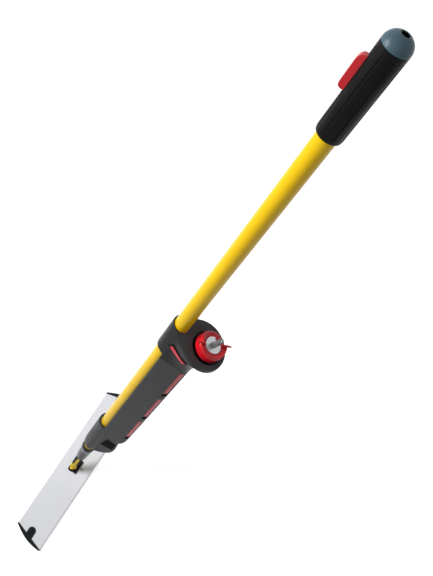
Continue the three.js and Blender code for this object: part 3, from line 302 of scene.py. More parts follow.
@dataclass(frozen=True)
class PaintedGlowFinish(Finish):
    """A tinted clear plastic with paler marks painted in: painted light for the light that shines
    through it.
    """

    # painted light: this paler red stands in for light shining through the plastic
    painted_light_streak: Color = (230, 84, 98)

    def tint(self, palette: Palette, color: Shade) -> Shade:
        """Paints the paler marks, as painted light."""
        streaks = palette.noise(170, 4, palette.coordinates((1, 1, 0.6)))
        return palette.blend(streaks.above(0.42, 0.7) * 0.8, color, linear(self.painted_light_streak))


def finishes(filler: Axes) -> dict[str, Finish]:
    """The finish of each material slot, and of a few single pieces.

    Args:
        filler: the filler's axes, whose origin lies on the head's top face.

    Returns:
        Names of slots or pieces to finishes.
    """
    gloss, moulded, rubber = Surface.GLOSS, Surface.MOULDED, Surface.RUBBER
    made = (
        Finish("plate_white", (228, 229, 234), gloss, 0.42, coat=0.06, mottle=0.012, wear=0.02,
               specular=0.2),
        Finish("cap_black", (20, 28, 27), moulded, 0.5, wear=0.5, specular=0.06),
        Finish("hook_tape", (44, 44, 48), Surface.TAPE, 0.9, mottle=0.15, wear=0.0, slot="felt"),
        Finish("bracket_black", (24, 24, 26), moulded, 0.5, wear=0.5, specular=0.06),
        Finish("polished_steel", (204, 205, 207), Surface.BRUSHED, 0.34, metallic=0.75,
               mottle=0.05, slot="steel"),
        Finish("cross_yellow", (247, 210, 34), moulded, 0.42, wear=0.1, specular=0.2),
        Finish("cone_grey", (76, 76, 80), moulded, 0.42, coat=0.1, specular=0.2),
        Finish("ring_grey", (124, 128, 132), gloss, 0.22, coat=0.6),
        Finish("pole_yellow", (248, 202, 8), gloss, 0.32, coat=0.12, mottle=0.025, wear=0.0,
               specular=0.15),
        Finish("shroud_grey", (66, 66, 68), moulded, 0.5, mottle=0.08, wear=0.4, specular=0.12),
        # painted light: the clear red parts get pale marks painted in for light shining through
        # them
        PaintedGlowFinish("tank_red", (212, 32, 52), gloss, 0.3, coat=0.08, wear=0.0, specular=0.15),
        # painted light: the head's top face is painted paler than its sides, for the light falling
        # on it
        PaintedLightTopFinish("head_black", (20, 20, 22), moulded, 0.34, mottle=0.1, specular=0.1,
                     wear=0.6, axis=tuple(filler.z), level=filler.origin.dot(filler.z)),
        Finish("cap_red", (220, 28, 40), gloss, 0.3, coat=0.25, wear=0.25, specular=0.2),
        Finish("grip_black", (12, 12, 13), rubber, 0.38, mottle=0.12, wear=0.9, specular=0.09),
        Finish("dome_slate", (70, 97, 110), gloss, 0.42, coat=0.08, mottle=0.05, specular=0.25),
        Finish("nipple_grey", (112, 114, 118), gloss, 0.3, coat=0.4, specular=0.4),
        # painted shade: black for sheets that stand in for the shade in recesses and holes
        Finish("inner_black", (14, 14, 15), moulded, 0.55, specular=0.1),
        Finish("block_black", (5, 5, 6), moulded, 0.6, specular=0.03),
        Finish("seal_rubber", (15, 15, 16), rubber, 0.6, specular=0.15, slot="seal"),
        # painted shade: the tank is near black where it shows through the windows, for the shade
        # inside the shroud
        Finish("tank_painted_shade", (46, 12, 15), gloss, 0.35, wear=0.0, specular=0.2),
    )
    return {item.slot or item.name: item for item in made}


# ---------- geometry ----------


@dataclass(frozen=True)
class Axes:
    """A right-handed set of axes somewhere in the row frame."""

    origin: Vector
    x: Vector
    z: Vector

    @property
    def y(self) -> Vector:
        """The third axis."""
        return self.z.cross(self.x)

    @property
    def matrix(self) -> Matrix:
        """From these axes to the row frame."""
        turn = Matrix((self.x, self.y, self.z)).transposed()
        return Matrix.Translation(self.origin) @ turn.to_4x4()


@dataclass(frozen=True)
class Extent:
    """The lowest and highest corners of a CAD node, in some axes."""

    low: Vector
    high: Vector


def joint_named(frame: dict, name: str) -> dict:
    """The joint with a given name."""
    return next(joint for joint in frame["joints"] if joint["name"] == name)


@dataclass
class Workshop:
    """The frame, its axes, the finishes, and what every class needs to build a piece."""

    frame: dict
    materials: dict[str, bpy.types.Material]

    @property
    def handle(self) -> Axes:
        """Axes of the handle: z up the pole from the upper pin, x towards the reservoir."""
        swing = joint_named(self.frame, "upper_swing")
        stroke = joint_named(self.frame, "pump_stroke")
        return Axes(Vector(swing["pos_m"]), Vector(swing["axis"]), Vector(stroke["axis"]))

    @property
    def filler(self) -> Axes:
        """Axes of the filler: z along the cap's axis, from the head's top face."""
        turn = joint_named(self.frame, "cap_turn")
        up = Vector(turn["axis"])
        side = self.handle.y
        return Axes(Vector(turn["pos_m"]), side.cross(up), up)

    @property
    def row(self) -> Axes:
        """The row frame's own axes."""
        return Axes(Vector((0, 0, 0)), Vector((1, 0, 0)), Vector((0, 0, 1)))

    def extent(self, node: str, axes: Axes) -> Extent:
        """Measures a CAD node in given axes."""
        back = axes.matrix.inverted()
        points = [back @ vertex.co for vertex in self.frame["nodes"][node].data.vertices]
        low = Vector([min(point[i] for point in points) for i in range(3)])
        high = Vector([max(point[i] for point in points) for i in range(3)])
        return Extent(low, high)

    def body_of(self, node: str) -> str:
        """The body that a CAD node belongs to."""
        bodies = self.frame["record"]["behaviour"]["bodies"]
        return next(name for name, members in bodies.items() if node in members)

    def slot_of(self, node: str) -> str:
        """The material slot of a CAD node."""
        parts = self.frame["record"]["subparts"]
        return next(part["material_slot"] for part in parts if part["node"] == node)

    def finish(self, piece: Piece, *nodes: str, slot: str | None = None,
               body: str | None = None, look: str | None = None) -> Piece:
        """Dresses a piece, and lets it ride in place of its CAD nodes.

        Args:
            piece: the finished piece.
            nodes: CAD nodes that it stands for.
            slot: its material slot, where that isn't the first node's.
            body: its body, where that isn't the first node's.
            look: its finish, where that isn't its slot's.

        Returns:
            The piece.
        """
        name = slot or self.slot_of(nodes[0])
        piece.data.materials.clear()
        piece.data.materials.append(self.materials[look or name])
        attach(piece, body or self.body_of(nodes[0]))
        if nodes:
            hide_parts(*nodes)
        LOG.info("%s: %d faces", piece.name, len(piece.data.polygons))
        return piece


def through(points: list[Point], x: float) -> float:
    """The height at x of the lowest-order curve through a few points (Lagrange's form)."""
    total = 0.0
    for place, value in points:
        for other, _ in points:
            if other != place:
                value *= (x - other) / (place - other)
        total += value
    return total


def new_piece(name: str, mesh: bpy.types.Mesh) -> Piece:
    """Links a mesh as a new object at the origin."""
    piece = bpy.data.objects.new(name, mesh)
    bpy.context.scene.collection.objects.link(piece)
    return piece


def smooth(mesh: bpy.types.Mesh, angle: float = 32) -> None:
    """Shades a mesh smooth, with an edge sharp where it bends by more than an angle in degrees."""
    mesh.shade_smooth()
    mesh.set_sharp_from_angle(angle=math.radians(angle))


@contextmanager
def edited(mesh: bpy.types.Mesh) -> Iterator[bmesh.types.BMesh]:
    """Opens a mesh for editing, and writes it back."""
    work = bmesh.new()
    work.from_mesh(mesh)
    yield work
    work.to_mesh(mesh)
    work.free()


def mesh_at(name: str, vertices: list[Point3], faces: list[tuple], axes: Axes) -> bpy.types.Mesh:
    """A mesh from points in given axes, with its place in the row frame."""
    mesh = bpy.data.meshes.new(name)
    mesh.from_pydata([axes.matrix @ Vector(vertex) for vertex in vertices], [], faces)
    return mesh


def closed_mesh(name: str, vertices: list[Point3], faces: list[tuple],
                axes: Axes) -> bpy.types.Mesh:
    """A clean closed mesh with its faces pointing out."""
    mesh = mesh_at(name, vertices, faces, axes)
    with edited(mesh) as work:
        bmesh.ops.remove_doubles(work, verts=work.verts, dist=DOUBLE)
        bmesh.ops.recalc_face_normals(work, faces=work.faces)
    return mesh


def softened(outline: list[Point], radius: float, steps: int = 3) -> list[Point]:
    """Rounds the inner corners of an open outline.

    Args:
        outline: corners as (radius, height).
        radius: the largest fillet, made smaller where a side is short.
        steps: how many pieces each fillet has.

    Returns:
        The outline with each corner but the first and last rounded.
    """
    result = [outline[0]]
    for before, corner, after in zip(outline, outline[1:], outline[2:]):
        here = Vector(corner)
        back, on = Vector(before) - here, Vector(after) - here
        reach = min(radius, back.length * 0.45, on.length * 0.45)
        start, end = here + back.normalized() * reach, here + on.normalized() * reach
        for i in range(steps + 1):
            share = i / steps
            point = start.lerp(here, share).lerp(here.lerp(end, share), share)
            result.append((point.x, point.y))
    result.append(outline[-1])
    return result


def turned(name: str, outline: list[Point], axes: Axes, segments: int = 96) -> Piece:
    """A smooth body turned about z from an outline that starts and ends on the axis or closes.

    Args:
        name: the piece's name.
        outline: (radius, height) pairs.
        axes: where its axis lies.
        segments: steps round.

    Returns:
        The new piece.
    """
    vertices, faces, count = [], [], len(outline)
    for radius, height in outline:
        for i in range(segments):
            angle = 2 * math.pi * i / segments
            vertices.append((radius * math.cos(angle), radius * math.sin(angle), height))
    closed = outline[0][0] > 0
    for level in range(count if closed else count - 1):
        after = (level + 1) % count
        for i in range(segments):
            j = (i + 1) % segments
            faces.append((level * segments + i, level * segments + j,
                          after * segments + j, after * segments + i))
    mesh = closed_mesh(name, vertices, faces, axes)
    smooth(mesh)
    return new_piece(name, mesh)


def finer_copy(shop: Workshop, node: str, bevel: float, segments: int,
               look: str | None = None) -> Piece:
    """A copy of a CAD node with merged faces, rounded edges and smooth shading.

    Args:
        shop: the workshop.
        node: the CAD node.
        bevel: the width of the rounding, or 0 for none.
        segments: how many faces each rounding has.
        look: its finish, where that isn't its slot's.

    Returns:
        The piece, dressed and riding in place of the node.
    """
    mesh = shop.frame["nodes"][node].data.copy()
    mesh.name = f"{node}_fine"
    with edited(mesh) as work:
        bmesh.ops.remove_doubles(work, verts=work.verts, dist=SEAM)
        bmesh.ops.dissolve_limit(work, angle_limit=math.radians(FLAT_ANGLE), verts=work.verts,
                                 edges=work.edges)
    if "custom_normal" in mesh.attributes:
        mesh.attributes.remove(mesh.attributes["custom_normal"])
    smooth(mesh)
    piece = new_piece(f"{node}_fine", mesh)
    if bevel:
        rounded(piece, bevel, segments)
    return shop.finish(piece, node, look=look)


# ---------- patterns ----------


class Pattern(Bench):
    """A Geometry Nodes tree with named inputs, which becomes a plain mesh."""

    SOCKETS = {int: "NodeSocketInt", float: "NodeSocketFloat",
               bpy.types.Material: "NodeSocketMaterial"}

    def __init__(self, name: str) -> None:
        """Starts an empty tree."""
        super().__init__(bpy.data.node_groups.new(name, "GeometryNodeTree"))
        self.name = name
        self.tree.interface.new_socket("Geometry", in_out="OUTPUT",
                                       socket_type="NodeSocketGeometry")
        self.start = self.tree.nodes.new("NodeGroupInput")
        self.values: dict[str, object] = {}

    def sizes(self, values: dict[str, int | float | bpy.types.Material]) -> list[Shade]:
        """Adds named inputs.

        Args:
            values: what each input is called, and the value that this piece gives it.

        Returns:
            The inputs, in the same order.
        """
        for name, value in values.items():
            item = self.tree.interface.new_socket(name, in_out="INPUT",
                                                  socket_type=self.SOCKETS[type(value)])
            self.values[item.identifier] = value
        return [Shade(self.tree, self.start.outputs[name]) for name in values]

    def geo(self, kind: str, inputs: dict | None = None, **settings: str) -> Shade:
        """Adds a geometry node, whose type is given without its usual start."""
        return self.node(f"GeometryNode{kind}", settings, inputs)

    def vector(self, x: Shade | float, y: Shade | float, z: Shade | float) -> Shade:
        """Joins three numbers."""
        return self.node("ShaderNodeCombineXYZ", {}, {0: x, 1: y, 2: z})

    def upward(self, height: Shade | float) -> Shade:
        """A vector along z."""
        return self.vector(0.0, 0.0, height)

    def trig(self, operation: str, angle: Shade) -> Shade:
        """The sine or cosine of an angle."""
        return self.node("ShaderNodeMath", {"operation": operation}, {0: angle})

    def block(self, x: Shade | float, y: Shade | float, z: Shade | float,
              place: Shade | None = None) -> Shade:
        """A box about the origin, or moved to a place."""
        box = self.geo("MeshCube", {"Size": self.vector(x, y, z)})
        return self.moved(box, place) if place else box

    def moved(self, shape: Shade, place: Shade) -> Shade:
        """Moves a shape."""
        return self.geo("Transform", {"Geometry": shape, "Translation": place})

    def together(self, *shapes: Shade) -> Shade:
        """Several shapes as one geometry."""
        return self.geo("JoinGeometry", {0: list(shapes)})

    def row(self, count: Shade, step: Shade) -> Shade:
        """Points in a straight row, each a step past the last."""
        return self.geo("MeshLine", {"Count": count, "Offset": step}, mode="OFFSET")

    def repeated(self, points: Shade, shape: Shade, turn: Shade | None = None) -> Shade:
        """A shape on each point, turned by an angle about z where one is given."""
        inputs = {"Points": points, "Instance": shape}
        if turn:
            inputs["Rotation"] = turn
        return self.geo("InstanceOnPoints", inputs)

    def piece(self, shape: Shade, axes: Axes, material: bpy.types.Material) -> Piece:
        """Turns the tree's result into a plain mesh in the row frame.

        Args:
            shape: the finished geometry.
            axes: where the tree's origin and axes lie.
            material: what the tree sets on it.

        Returns:
            The new piece, with no modifier left.
        """
        real = self.geo("RealizeInstances", {"Geometry": shape})
        dressed = self.geo("SetMaterial", {
            "Geometry": real, "Material": self.sizes({"Material": material})[0]})
        end = self.tree.nodes.new("NodeGroupOutput")
        self.tree.links.new(dressed.socket, end.inputs[0])
        carrier = new_piece(f"{self.name}_tree", bpy.data.meshes.new(f"{self.name}_tree"))
        modifier = carrier.modifiers.new(self.name, "NODES")
        modifier.node_group = self.tree
        for identifier, value in self.values.items():
            modifier[identifier] = value
        graph = bpy.context.evaluated_depsgraph_get()
        mesh = bpy.data.meshes.new_from_object(carrier.evaluated_get(graph))
        bpy.data.objects.remove(carrier)
        mesh.name = self.name
        mesh.transform(axes.matrix)
        smooth(mesh)
        return new_piece(self.name, mesh)


def hook_tape(shop: Workshop, node: str) -> Piece:
    """A strip of hook tape: a backing with rows of small mushroom hooks below it.

    Args:
        shop: the workshop.
        node: the plain CAD strip.

    Returns:
        The piece, in place of the strip.
    """
    extent = shop.extent(node, shop.row)
    span = extent.high - extent.low
    pattern = Pattern(f"{node}_hooks")
    backing_depth = 1.2 * MM
    length, width, thick, stand, pitch, wire, seed = pattern.sizes({
        "Length": span.x, "Width": span.y, "Backing thickness": backing_depth,
        "Hook height": span.z - backing_depth, "Pitch": 3.6 * MM, "Stem radius": 0.35 * MM,
        "Seed": 7})
    backing = pattern.block(length, width, thick,
                            pattern.upward(stand + thick * 0.5))
    grid = pattern.geo("MeshGrid", {
        "Size X": length - pitch, "Size Y": width - pitch, "Vertices X": length / pitch,
        "Vertices Y": width / pitch})
    stem = pattern.moved(pattern.geo("MeshCylinder", {
        "Vertices": 6, "Radius": wire, "Depth": stand}), pattern.upward(stand * 0.5))
    head = pattern.geo("MeshCone", {
        "Vertices": 6, "Radius Top": wire, "Radius Bottom": wire * 2.2, "Depth": stand * 0.35})
    turn = pattern.node("FunctionNodeRandomValue", {"data_type": "FLOAT"}, {
        2: 0.0, 3: math.pi, "Seed": seed}, 1)
    hooks = pattern.repeated(grid, pattern.together(stem, head), pattern.upward(turn))
    middle = (extent.low + extent.high) / 2
    axes = Axes(Vector((middle.x, middle.y, extent.low.z)), shop.row.x, shop.row.z)
    piece = pattern.piece(pattern.together(backing, hooks), axes, shop.materials["felt"])
    return shop.finish(piece, node)


def coil_spring(shop: Workshop, node: str, axes: Axes, wire: float, turns: int) -> Piece:
    """A wire spring wound about an axis, as long and as wide as its CAD node.

    Args:
        shop: the workshop.
        node: the CAD spring.
        axes: z along the spring, through its middle.
        wire: the wire's radius.
        turns: how many times it goes round.

    Returns:
        The piece, in place of the spring.
    """
    extent = shop.extent(node, axes)
    length = extent.high.z - extent.low.z
    pattern = Pattern(f"{node}_wire")
    radius, height, thick, count = pattern.sizes({
        "Coil radius": extent.high.x - wire, "Length": length - 2 * wire, "Wire radius": wire,
        "Turns": float(turns)})
    spiral = pattern.geo("CurveSpiral", {
        "Resolution": 32, "Rotations": count, "Start Radius": radius, "End Radius": radius,
        "Height": height})
    profile = pattern.geo("CurvePrimitiveCircle", {"Resolution": 10, "Radius": thick})
    coil = pattern.geo("CurveToMesh", {
        "Curve": spiral, "Profile Curve": profile, "Fill Caps": True})
    foot = Axes(axes.origin + axes.z * (extent.low.z + wire), axes.x, axes.z)
    piece = shop.finish(pattern.piece(coil, foot, shop.materials["steel"]), node)
    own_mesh(piece)
    return piece


def screw_row(shop: Workshop, nodes: list[str], axes: Axes, up: Vector, recess: float) -> None:
    """Screws in a straight row, each with a flat round head and a cross recess.

    Args:
        shop: the workshop.
        nodes: their CAD nodes, in order along the row and evenly spaced.
        axes: any axes in which the screws stand upright.
        up: which way their heads face, in the row frame.
        recess: half the length of the cross.
    """
    extents = [shop.extent(node, axes) for node in nodes[:2]]
    places = [axes.matrix @ ((item.low + item.high) / 2) for item in extents]
    span = extents[0].high - extents[0].low
    step = places[1] - places[0]
    seat = Axes(places[0], step.normalized(), up)
    depth = abs((axes.matrix.to_3x3().inverted() @ up).dot(span))
    radius = max(side for side in span if side != depth) / 2
    pattern = Pattern(f"{nodes[0]}_row")
    wide, deep, arm, gap, count = pattern.sizes({
        "Head radius": radius, "Head height": depth, "Recess": recess, "Spacing": step.length,
        "Count": len(nodes)})
    disc = pattern.geo("MeshCylinder", {
        "Vertices": 40, "Side Segments": 1, "Radius": wide, "Depth": deep})
    top = pattern.upward(deep * 0.5)
    slots = [pattern.block(*size, top) for size in (
        (arm * 2, arm * 0.45, deep * 0.8), (arm * 0.45, arm * 2, deep * 0.8))]
    cut = pattern.geo("MeshBoolean", {"Mesh 1": disc, "Mesh 2": slots}, operation="DIFFERENCE")
    heads = pattern.repeated(pattern.row(count, pattern.vector(gap, 0.0, 0.0)), cut)
    piece = pattern.piece(heads, seat, shop.materials["steel"])
    rounded(piece, 0.2 * MM)
    shop.finish(piece, *nodes)


def thickened(piece: Piece, thickness: float, axes: Axes) -> None:
    """Gives open sheets a wall on the side towards an axis.

    Args:
        piece: the sheets, whose faces all bend round the axis.
        thickness: the wall.
        axes: the axis is z.
    """
    back = axes.matrix.inverted()
    with edited(piece.data) as work:
        for face in work.faces:
            place = back @ face.calc_center_median()
            if (back.to_3x3() @ face.normal).dot(Vector((place.x, place.y, 0))) < 0:
                face.normal_flip()
    walled(piece, thickness, even=True)


def walled(piece: Piece, thickness: float, even: bool = False) -> None:
    """Gives a sheet a wall behind it with a live modifier, as thick at its bends if even."""
    wall = piece.modifiers.new("wall", "SOLIDIFY")
    wall.thickness = thickness
    wall.offset = -1
    wall.use_even_offset = even


def rounded(piece: Piece, width: float, segments: int = 2) -> None:
    """Rounds a piece's edges with a live modifier."""
    modifier = piece.modifiers.new("rounding", "BEVEL")
    modifier.width = width
    modifier.segments = segments
    modifier.limit_method = "ANGLE"
    modifier.angle_limit = math.radians(BENT_ANGLE)
    modifier.harden_normals = True


# ---------- sub-assemblies ----------


@dataclass
class Assembly:
    """A sub-assembly, which knows the workshop that it is made in."""

    shop: Workshop

    def copies(self, bevel: float, segments: int, *nodes: str, look: str | None = None) -> None:
        """Makes finer copies of CAD nodes, all with the same rounding.

        Args:
            bevel: the width of the rounding.
            segments: how many faces each rounding has.
            nodes: the CAD nodes.
            look: their finish, where that isn't their slot's.
        """
        for node in nodes:
            finer_copy(self.shop, node, bevel, segments, look)


@dataclass
class Plate(Assembly):
    """The mop frame: plate, end caps, hook strips and bracket."""

    def build(self) -> None:
        """Builds every piece of the frame."""
        shop = self.shop
        self.copies(1.2 * MM, 3, "frame_plate")
        self.copies(0.8 * MM, 3, "end_cap_left", "end_cap_right")
        self.copies(0.6 * MM, 3, "base_bracket", "cross_block")
        self.copies(0.25 * MM, 2, "lower_pin", "upper_pin", "end_cap_rivet_left",
                    "end_cap_rivet_right")
        for i in range(3):
            hook_tape(shop, f"hook_strip_{i + 1}")
        screw_row(shop, ["bracket_screw_left", "bracket_screw_right"], shop.row, shop.row.z,
                  1.3 * MM)


@dataclass
class Pole(Assembly):
    """The painted pole with its socket, cone and sliding collar."""

    wall: float = 1.5 * MM
    chamfer: float = 0.3 * MM

    def build(self) -> None:
        """Builds the pole and what holds its lower end."""
        shop, axes = self.shop, self.shop.handle
        tube = shop.extent("pole_tube", axes)
        inner = tube.high.x - self.wall
        outline = [(inner, tube.low.z), (tube.high.x - self.chamfer, tube.low.z),
                   (tube.high.x, tube.low.z + self.chamfer), (tube.high.x, tube.high.z),
                   (inner, tube.high.z)]
        shop.finish(turned("pole", outline, axes), "pole_tube")
        self.copies(0.5 * MM, 3, "adapter_cone", "pole_socket", "release_collar", "yoke_fork",
                    "adapter_core")
        coil_spring(shop, "collar_spring", axes, 0.7 * MM, 3)


@dataclass
class Nozzles(Assembly):
    """The housing that carries the spray nozzles."""

    def build(self) -> None:
        """Builds the housing, its dark block and the tips."""
        self.copies(1.8 * MM, 4, "nozzle_housing")
        self.copies(1.4 * MM, 4, "nozzle_block", look="block_black")
        self.copies(0.2 * MM, 2, *(f"nozzle_tip_{i + 1}" for i in range(3)))


@dataclass
class Reservoir(Assembly):
    """The tank with its sight strips, and the two halves of its shroud."""

    corner: float = 15 * MM
    angle: float = 62.0
    count: int = 3
    pitch: float = 121 * MM
    start: float = 56 * MM
    length: float = 89.9 * MM
    width: float = 9.3 * MM
    shift: float = 1.2 * MM
    thick: float = 2.2 * MM
    sunk: float = 0.5 * MM

    def sight_strips(self, side: int) -> Piece:
        """The clear ribs that show the water level along one front corner.

        Args:
            side: 1 or -1, along the handle's y.

        Returns:
            All the ribs of that corner as one piece.
        """
        shop, handle = self.shop, self.shop.handle
        shroud = shop.extent("shroud_right", handle)
        turn = math.radians(self.angle) * side
        out = handle.x * math.cos(turn) + handle.y * math.sin(turn)
        foot = (handle.x * (shroud.high.x - self.corner)
                + handle.y * side * (shroud.high.y - self.corner)
                + handle.z * (shroud.low.z + self.start + self.length / 2))
        pattern = Pattern("sight_strips_right" if side > 0 else "sight_strips_left")
        count, pitch, radius, width, length, aside = pattern.sizes({
            "Count": self.count, "Pitch": self.pitch, "Face radius": self.corner - self.sunk,
            "Width": self.width, "Length": self.length,
            "Shift to the front": -side * self.shift})
        sheet = pattern.geo("MeshGrid", {
            "Size X": length, "Size Y": width, "Vertices X": 2, "Vertices Y": 12})
        flat = pattern.geo("InputPosition")
        along, across = (pattern.node("ShaderNodeSeparateXYZ", {}, {0: flat}, axis)
                         for axis in "XY")
        around = (across + aside) / radius
        bent = pattern.vector(radius * pattern.trig("COSINE", around),
                              radius * pattern.trig("SINE", around), along)
        sheet = pattern.geo("SetPosition", {"Geometry": sheet, "Position": bent})
        strips = pattern.repeated(pattern.row(count, pattern.upward(pitch)), sheet)
        axes = Axes(handle.origin + foot, out, handle.z)
        piece = pattern.piece(strips, axes, shop.materials["tank_red"])
        thickened(piece, self.thick, axes)
        rounded(piece, 0.5 * MM, 3)
        return shop.finish(piece, slot="tank_red", body=shop.body_of("tank"))

    def build(self) -> None:
        """Builds the shroud, the tank, its strips and the screws."""
        shop = self.shop
        self.copies(0.6 * MM, 3, "shroud_left", "shroud_right")
        # painted shade: the tank is coloured near black, standing in for the shade inside the
        # shroud
        self.copies(0, 2, "tank", look="tank_painted_shade")
        for side in (-1, 1):
            self.sight_strips(side)
        screw_row(shop, [f"shroud_screw_{i + 1}" for i in range(3)], shop.handle, shop.handle.y,
                  1.4 * MM)


@dataclass
class FillCap(Assembly):
    """The red screw cap: a ribbed skirt, a shallow ring on top and two finger wings."""

    skirt: float = 26.9 * MM
    proud: float = 0.7 * MM
    low: float = 1.5 * MM
    high: float = 18.5 * MM
    neck: float = 20.35 * MM
    under: float = 9.6 * MM
    bore: float = 5.7 * MM
    floor: float = 15.5 * MM
    rib_count: int = 40
    rib_width: float = 1.7 * MM
    rib_short: float = 4.5 * MM
    wing_angle: float = 35.0
    wing_start: float = 16.6 * MM
    wing_end: float = 36.2 * MM
    wing_top: float = 26.0 * MM
    wing_half: float = 1.8 * MM
    ring: float = 18.1 * MM
    scoop_gap: float = 2.0
    scoop_angle: float = 72.0
    fin_steps: int = 24
    scoop_steps: int = 20
    bowl_steps: int = 8

    def body(self) -> None:
        """The turned body."""
        outline = [(self.bore, self.under), (self.neck, self.under), (self.neck, self.low),
                   (self.skirt, self.low), (self.skirt, self.high - 2 * MM),
                   (self.skirt - 2 * MM, self.high), (21 * MM, self.high - 0.8 * MM),
                   (15.4 * MM, self.floor), (self.bore, self.floor)]
        shape = turned("fill_cap_body", softened(outline, 1 * MM), self.shop.filler, 128)
        self.shop.finish(shape, "fill_cap")

    def ribs(self) -> None:
        """The fine grip ribs round the skirt."""
        pattern = Pattern("fill_cap_ribs")
        count, radius, height, proud, width = pattern.sizes({
            "Count": self.rib_count, "Skirt radius": self.skirt,
            "Height": self.high - self.low - self.rib_short, "Proud": self.proud,
            "Width": self.rib_width})
        ring = pattern.geo("MeshCircle", {"Vertices": count, "Radius": radius})
        index = pattern.geo("InputIndex")
        turn = pattern.upward(index * (2 * math.pi) / count)
        bar = pattern.block(proud * 2, width, height)
        filler = self.shop.filler
        middle = filler.origin + filler.z * (self.low + self.high - 3 * MM) / 2
        piece = pattern.piece(pattern.repeated(ring, bar, turn), Axes(middle, filler.x, filler.z),
                              self.shop.materials["cap_red"])
        rounded(piece, 0.45 * MM, 2)
        self.shop.finish(piece, slot="cap_red", body=self.shop.body_of("fill_cap"))

    def fin_section(self, share: float) -> list[Point]:
        """One cross-section of a wing's fin.

        Args:
            share: 0 at the fin's inner end and 1 at the tip of its ear.

        Returns:
            Points as (across, height), round the section.
        """
        rise = math.sin(min(1.0, share / 0.3) * math.pi / 2)
        top = self.ring + (self.wing_top - self.ring) * rise - max(0.0, share - 0.6) * 4 * MM
        past = max(0.0, (share - 0.48) / 0.52)
        base = self.ring - 1 * MM + (4.4 * MM) * min(1.0, past * 3) ** 0.7
        half = self.wing_half * (1 - 0.2 * past)
        ease = min(1 * MM, (top - base) * 0.3)
        return [(half, base), (half, top - ease), (half * 0.4, top), (-half * 0.4, top),
                (-half, top - ease), (-half, base)]

    def scoop_section(self, share: float) -> list[Point]:
        """One cross-section of the scoop beside a fin, from the disc to the rim.

        Args:
            share: 0 at the fin and 1 where the scoop runs out.

        Returns:
            Points as (radius, height), round the section.
        """
        inner, outer = self.wing_start, self.skirt - 0.6 * MM
        rim = self.ring + (self.wing_top - self.ring - 0.8 * MM) * (1 - share) ** 0.9
        points = [(inner, self.floor)]
        for step in range(self.bowl_steps + 1):
            along = step / self.bowl_steps
            points.append((inner + (outer - 1.4 * MM - inner) * along,
                           self.ring - 0.6 * MM + (rim - self.ring + 0.6 * MM) * along ** 2.1))
        return points + [(outer - 0.4 * MM, rim - 0.3 * MM), (outer, rim - 1 * MM),
                         (outer, self.floor)]

    def lofted(self, name: str, rows: list[list[Point3]]) -> None:
        """Joins cross-sections into a closed piece of the cap.

        Args:
            name: the piece's name.
            rows: each section's points in the filler's axes.
        """
        count = len(rows[0])
        faces = [(i * count + k, i * count + (k + 1) % count, (i + 1) * count + (k + 1) % count,
                  (i + 1) * count + k) for i in range(len(rows) - 1) for k in range(count)]
        faces.append(tuple(range(count)))
        faces.append(tuple((len(rows) - 1) * count + k for k in range(count)))
        points = [point for row in rows for point in row]
        mesh = closed_mesh(name, points, faces, self.shop.filler)
        smooth(mesh, 42)
        piece = new_piece(name, mesh)
        rounded(piece, 0.4 * MM, 3)
        self.shop.finish(piece, slot="cap_red", body=self.shop.body_of("fill_cap"))

    def wing(self, name: str, degrees: float) -> None:
        """One finger wing: a fin with an ear, and a scoop on its clockwise side.

        Args:
            name: the start of its pieces' names.
            degrees: its direction from the filler's x.
        """
        turn = math.radians(degrees)
        rows = []
        for i in range(self.fin_steps + 1):
            share = i / self.fin_steps
            reach = self.wing_start + (self.wing_end - self.wing_start) * share
            rows.append([(reach * math.cos(turn) - across * math.sin(turn),
                          reach * math.sin(turn) + across * math.cos(turn), height)
                         for across, height in self.fin_section(share)])
        self.lofted(f"{name}_fin", rows)
        rows = []
        for i in range(self.scoop_steps + 1):
            share = i / self.scoop_steps
            angle = turn - math.radians(self.scoop_gap + self.scoop_angle * share)
            rows.append([(radius * math.cos(angle), radius * math.sin(angle), height)
                         for radius, height in self.scoop_section(share)])
        self.lofted(f"{name}_scoop", rows)

    def build(self) -> None:
        """Builds the whole cap."""
        self.body()
        self.ribs()
        self.wing("fill_cap_wing_front", self.wing_angle)
        self.wing("fill_cap_wing_back", self.wing_angle + 180)


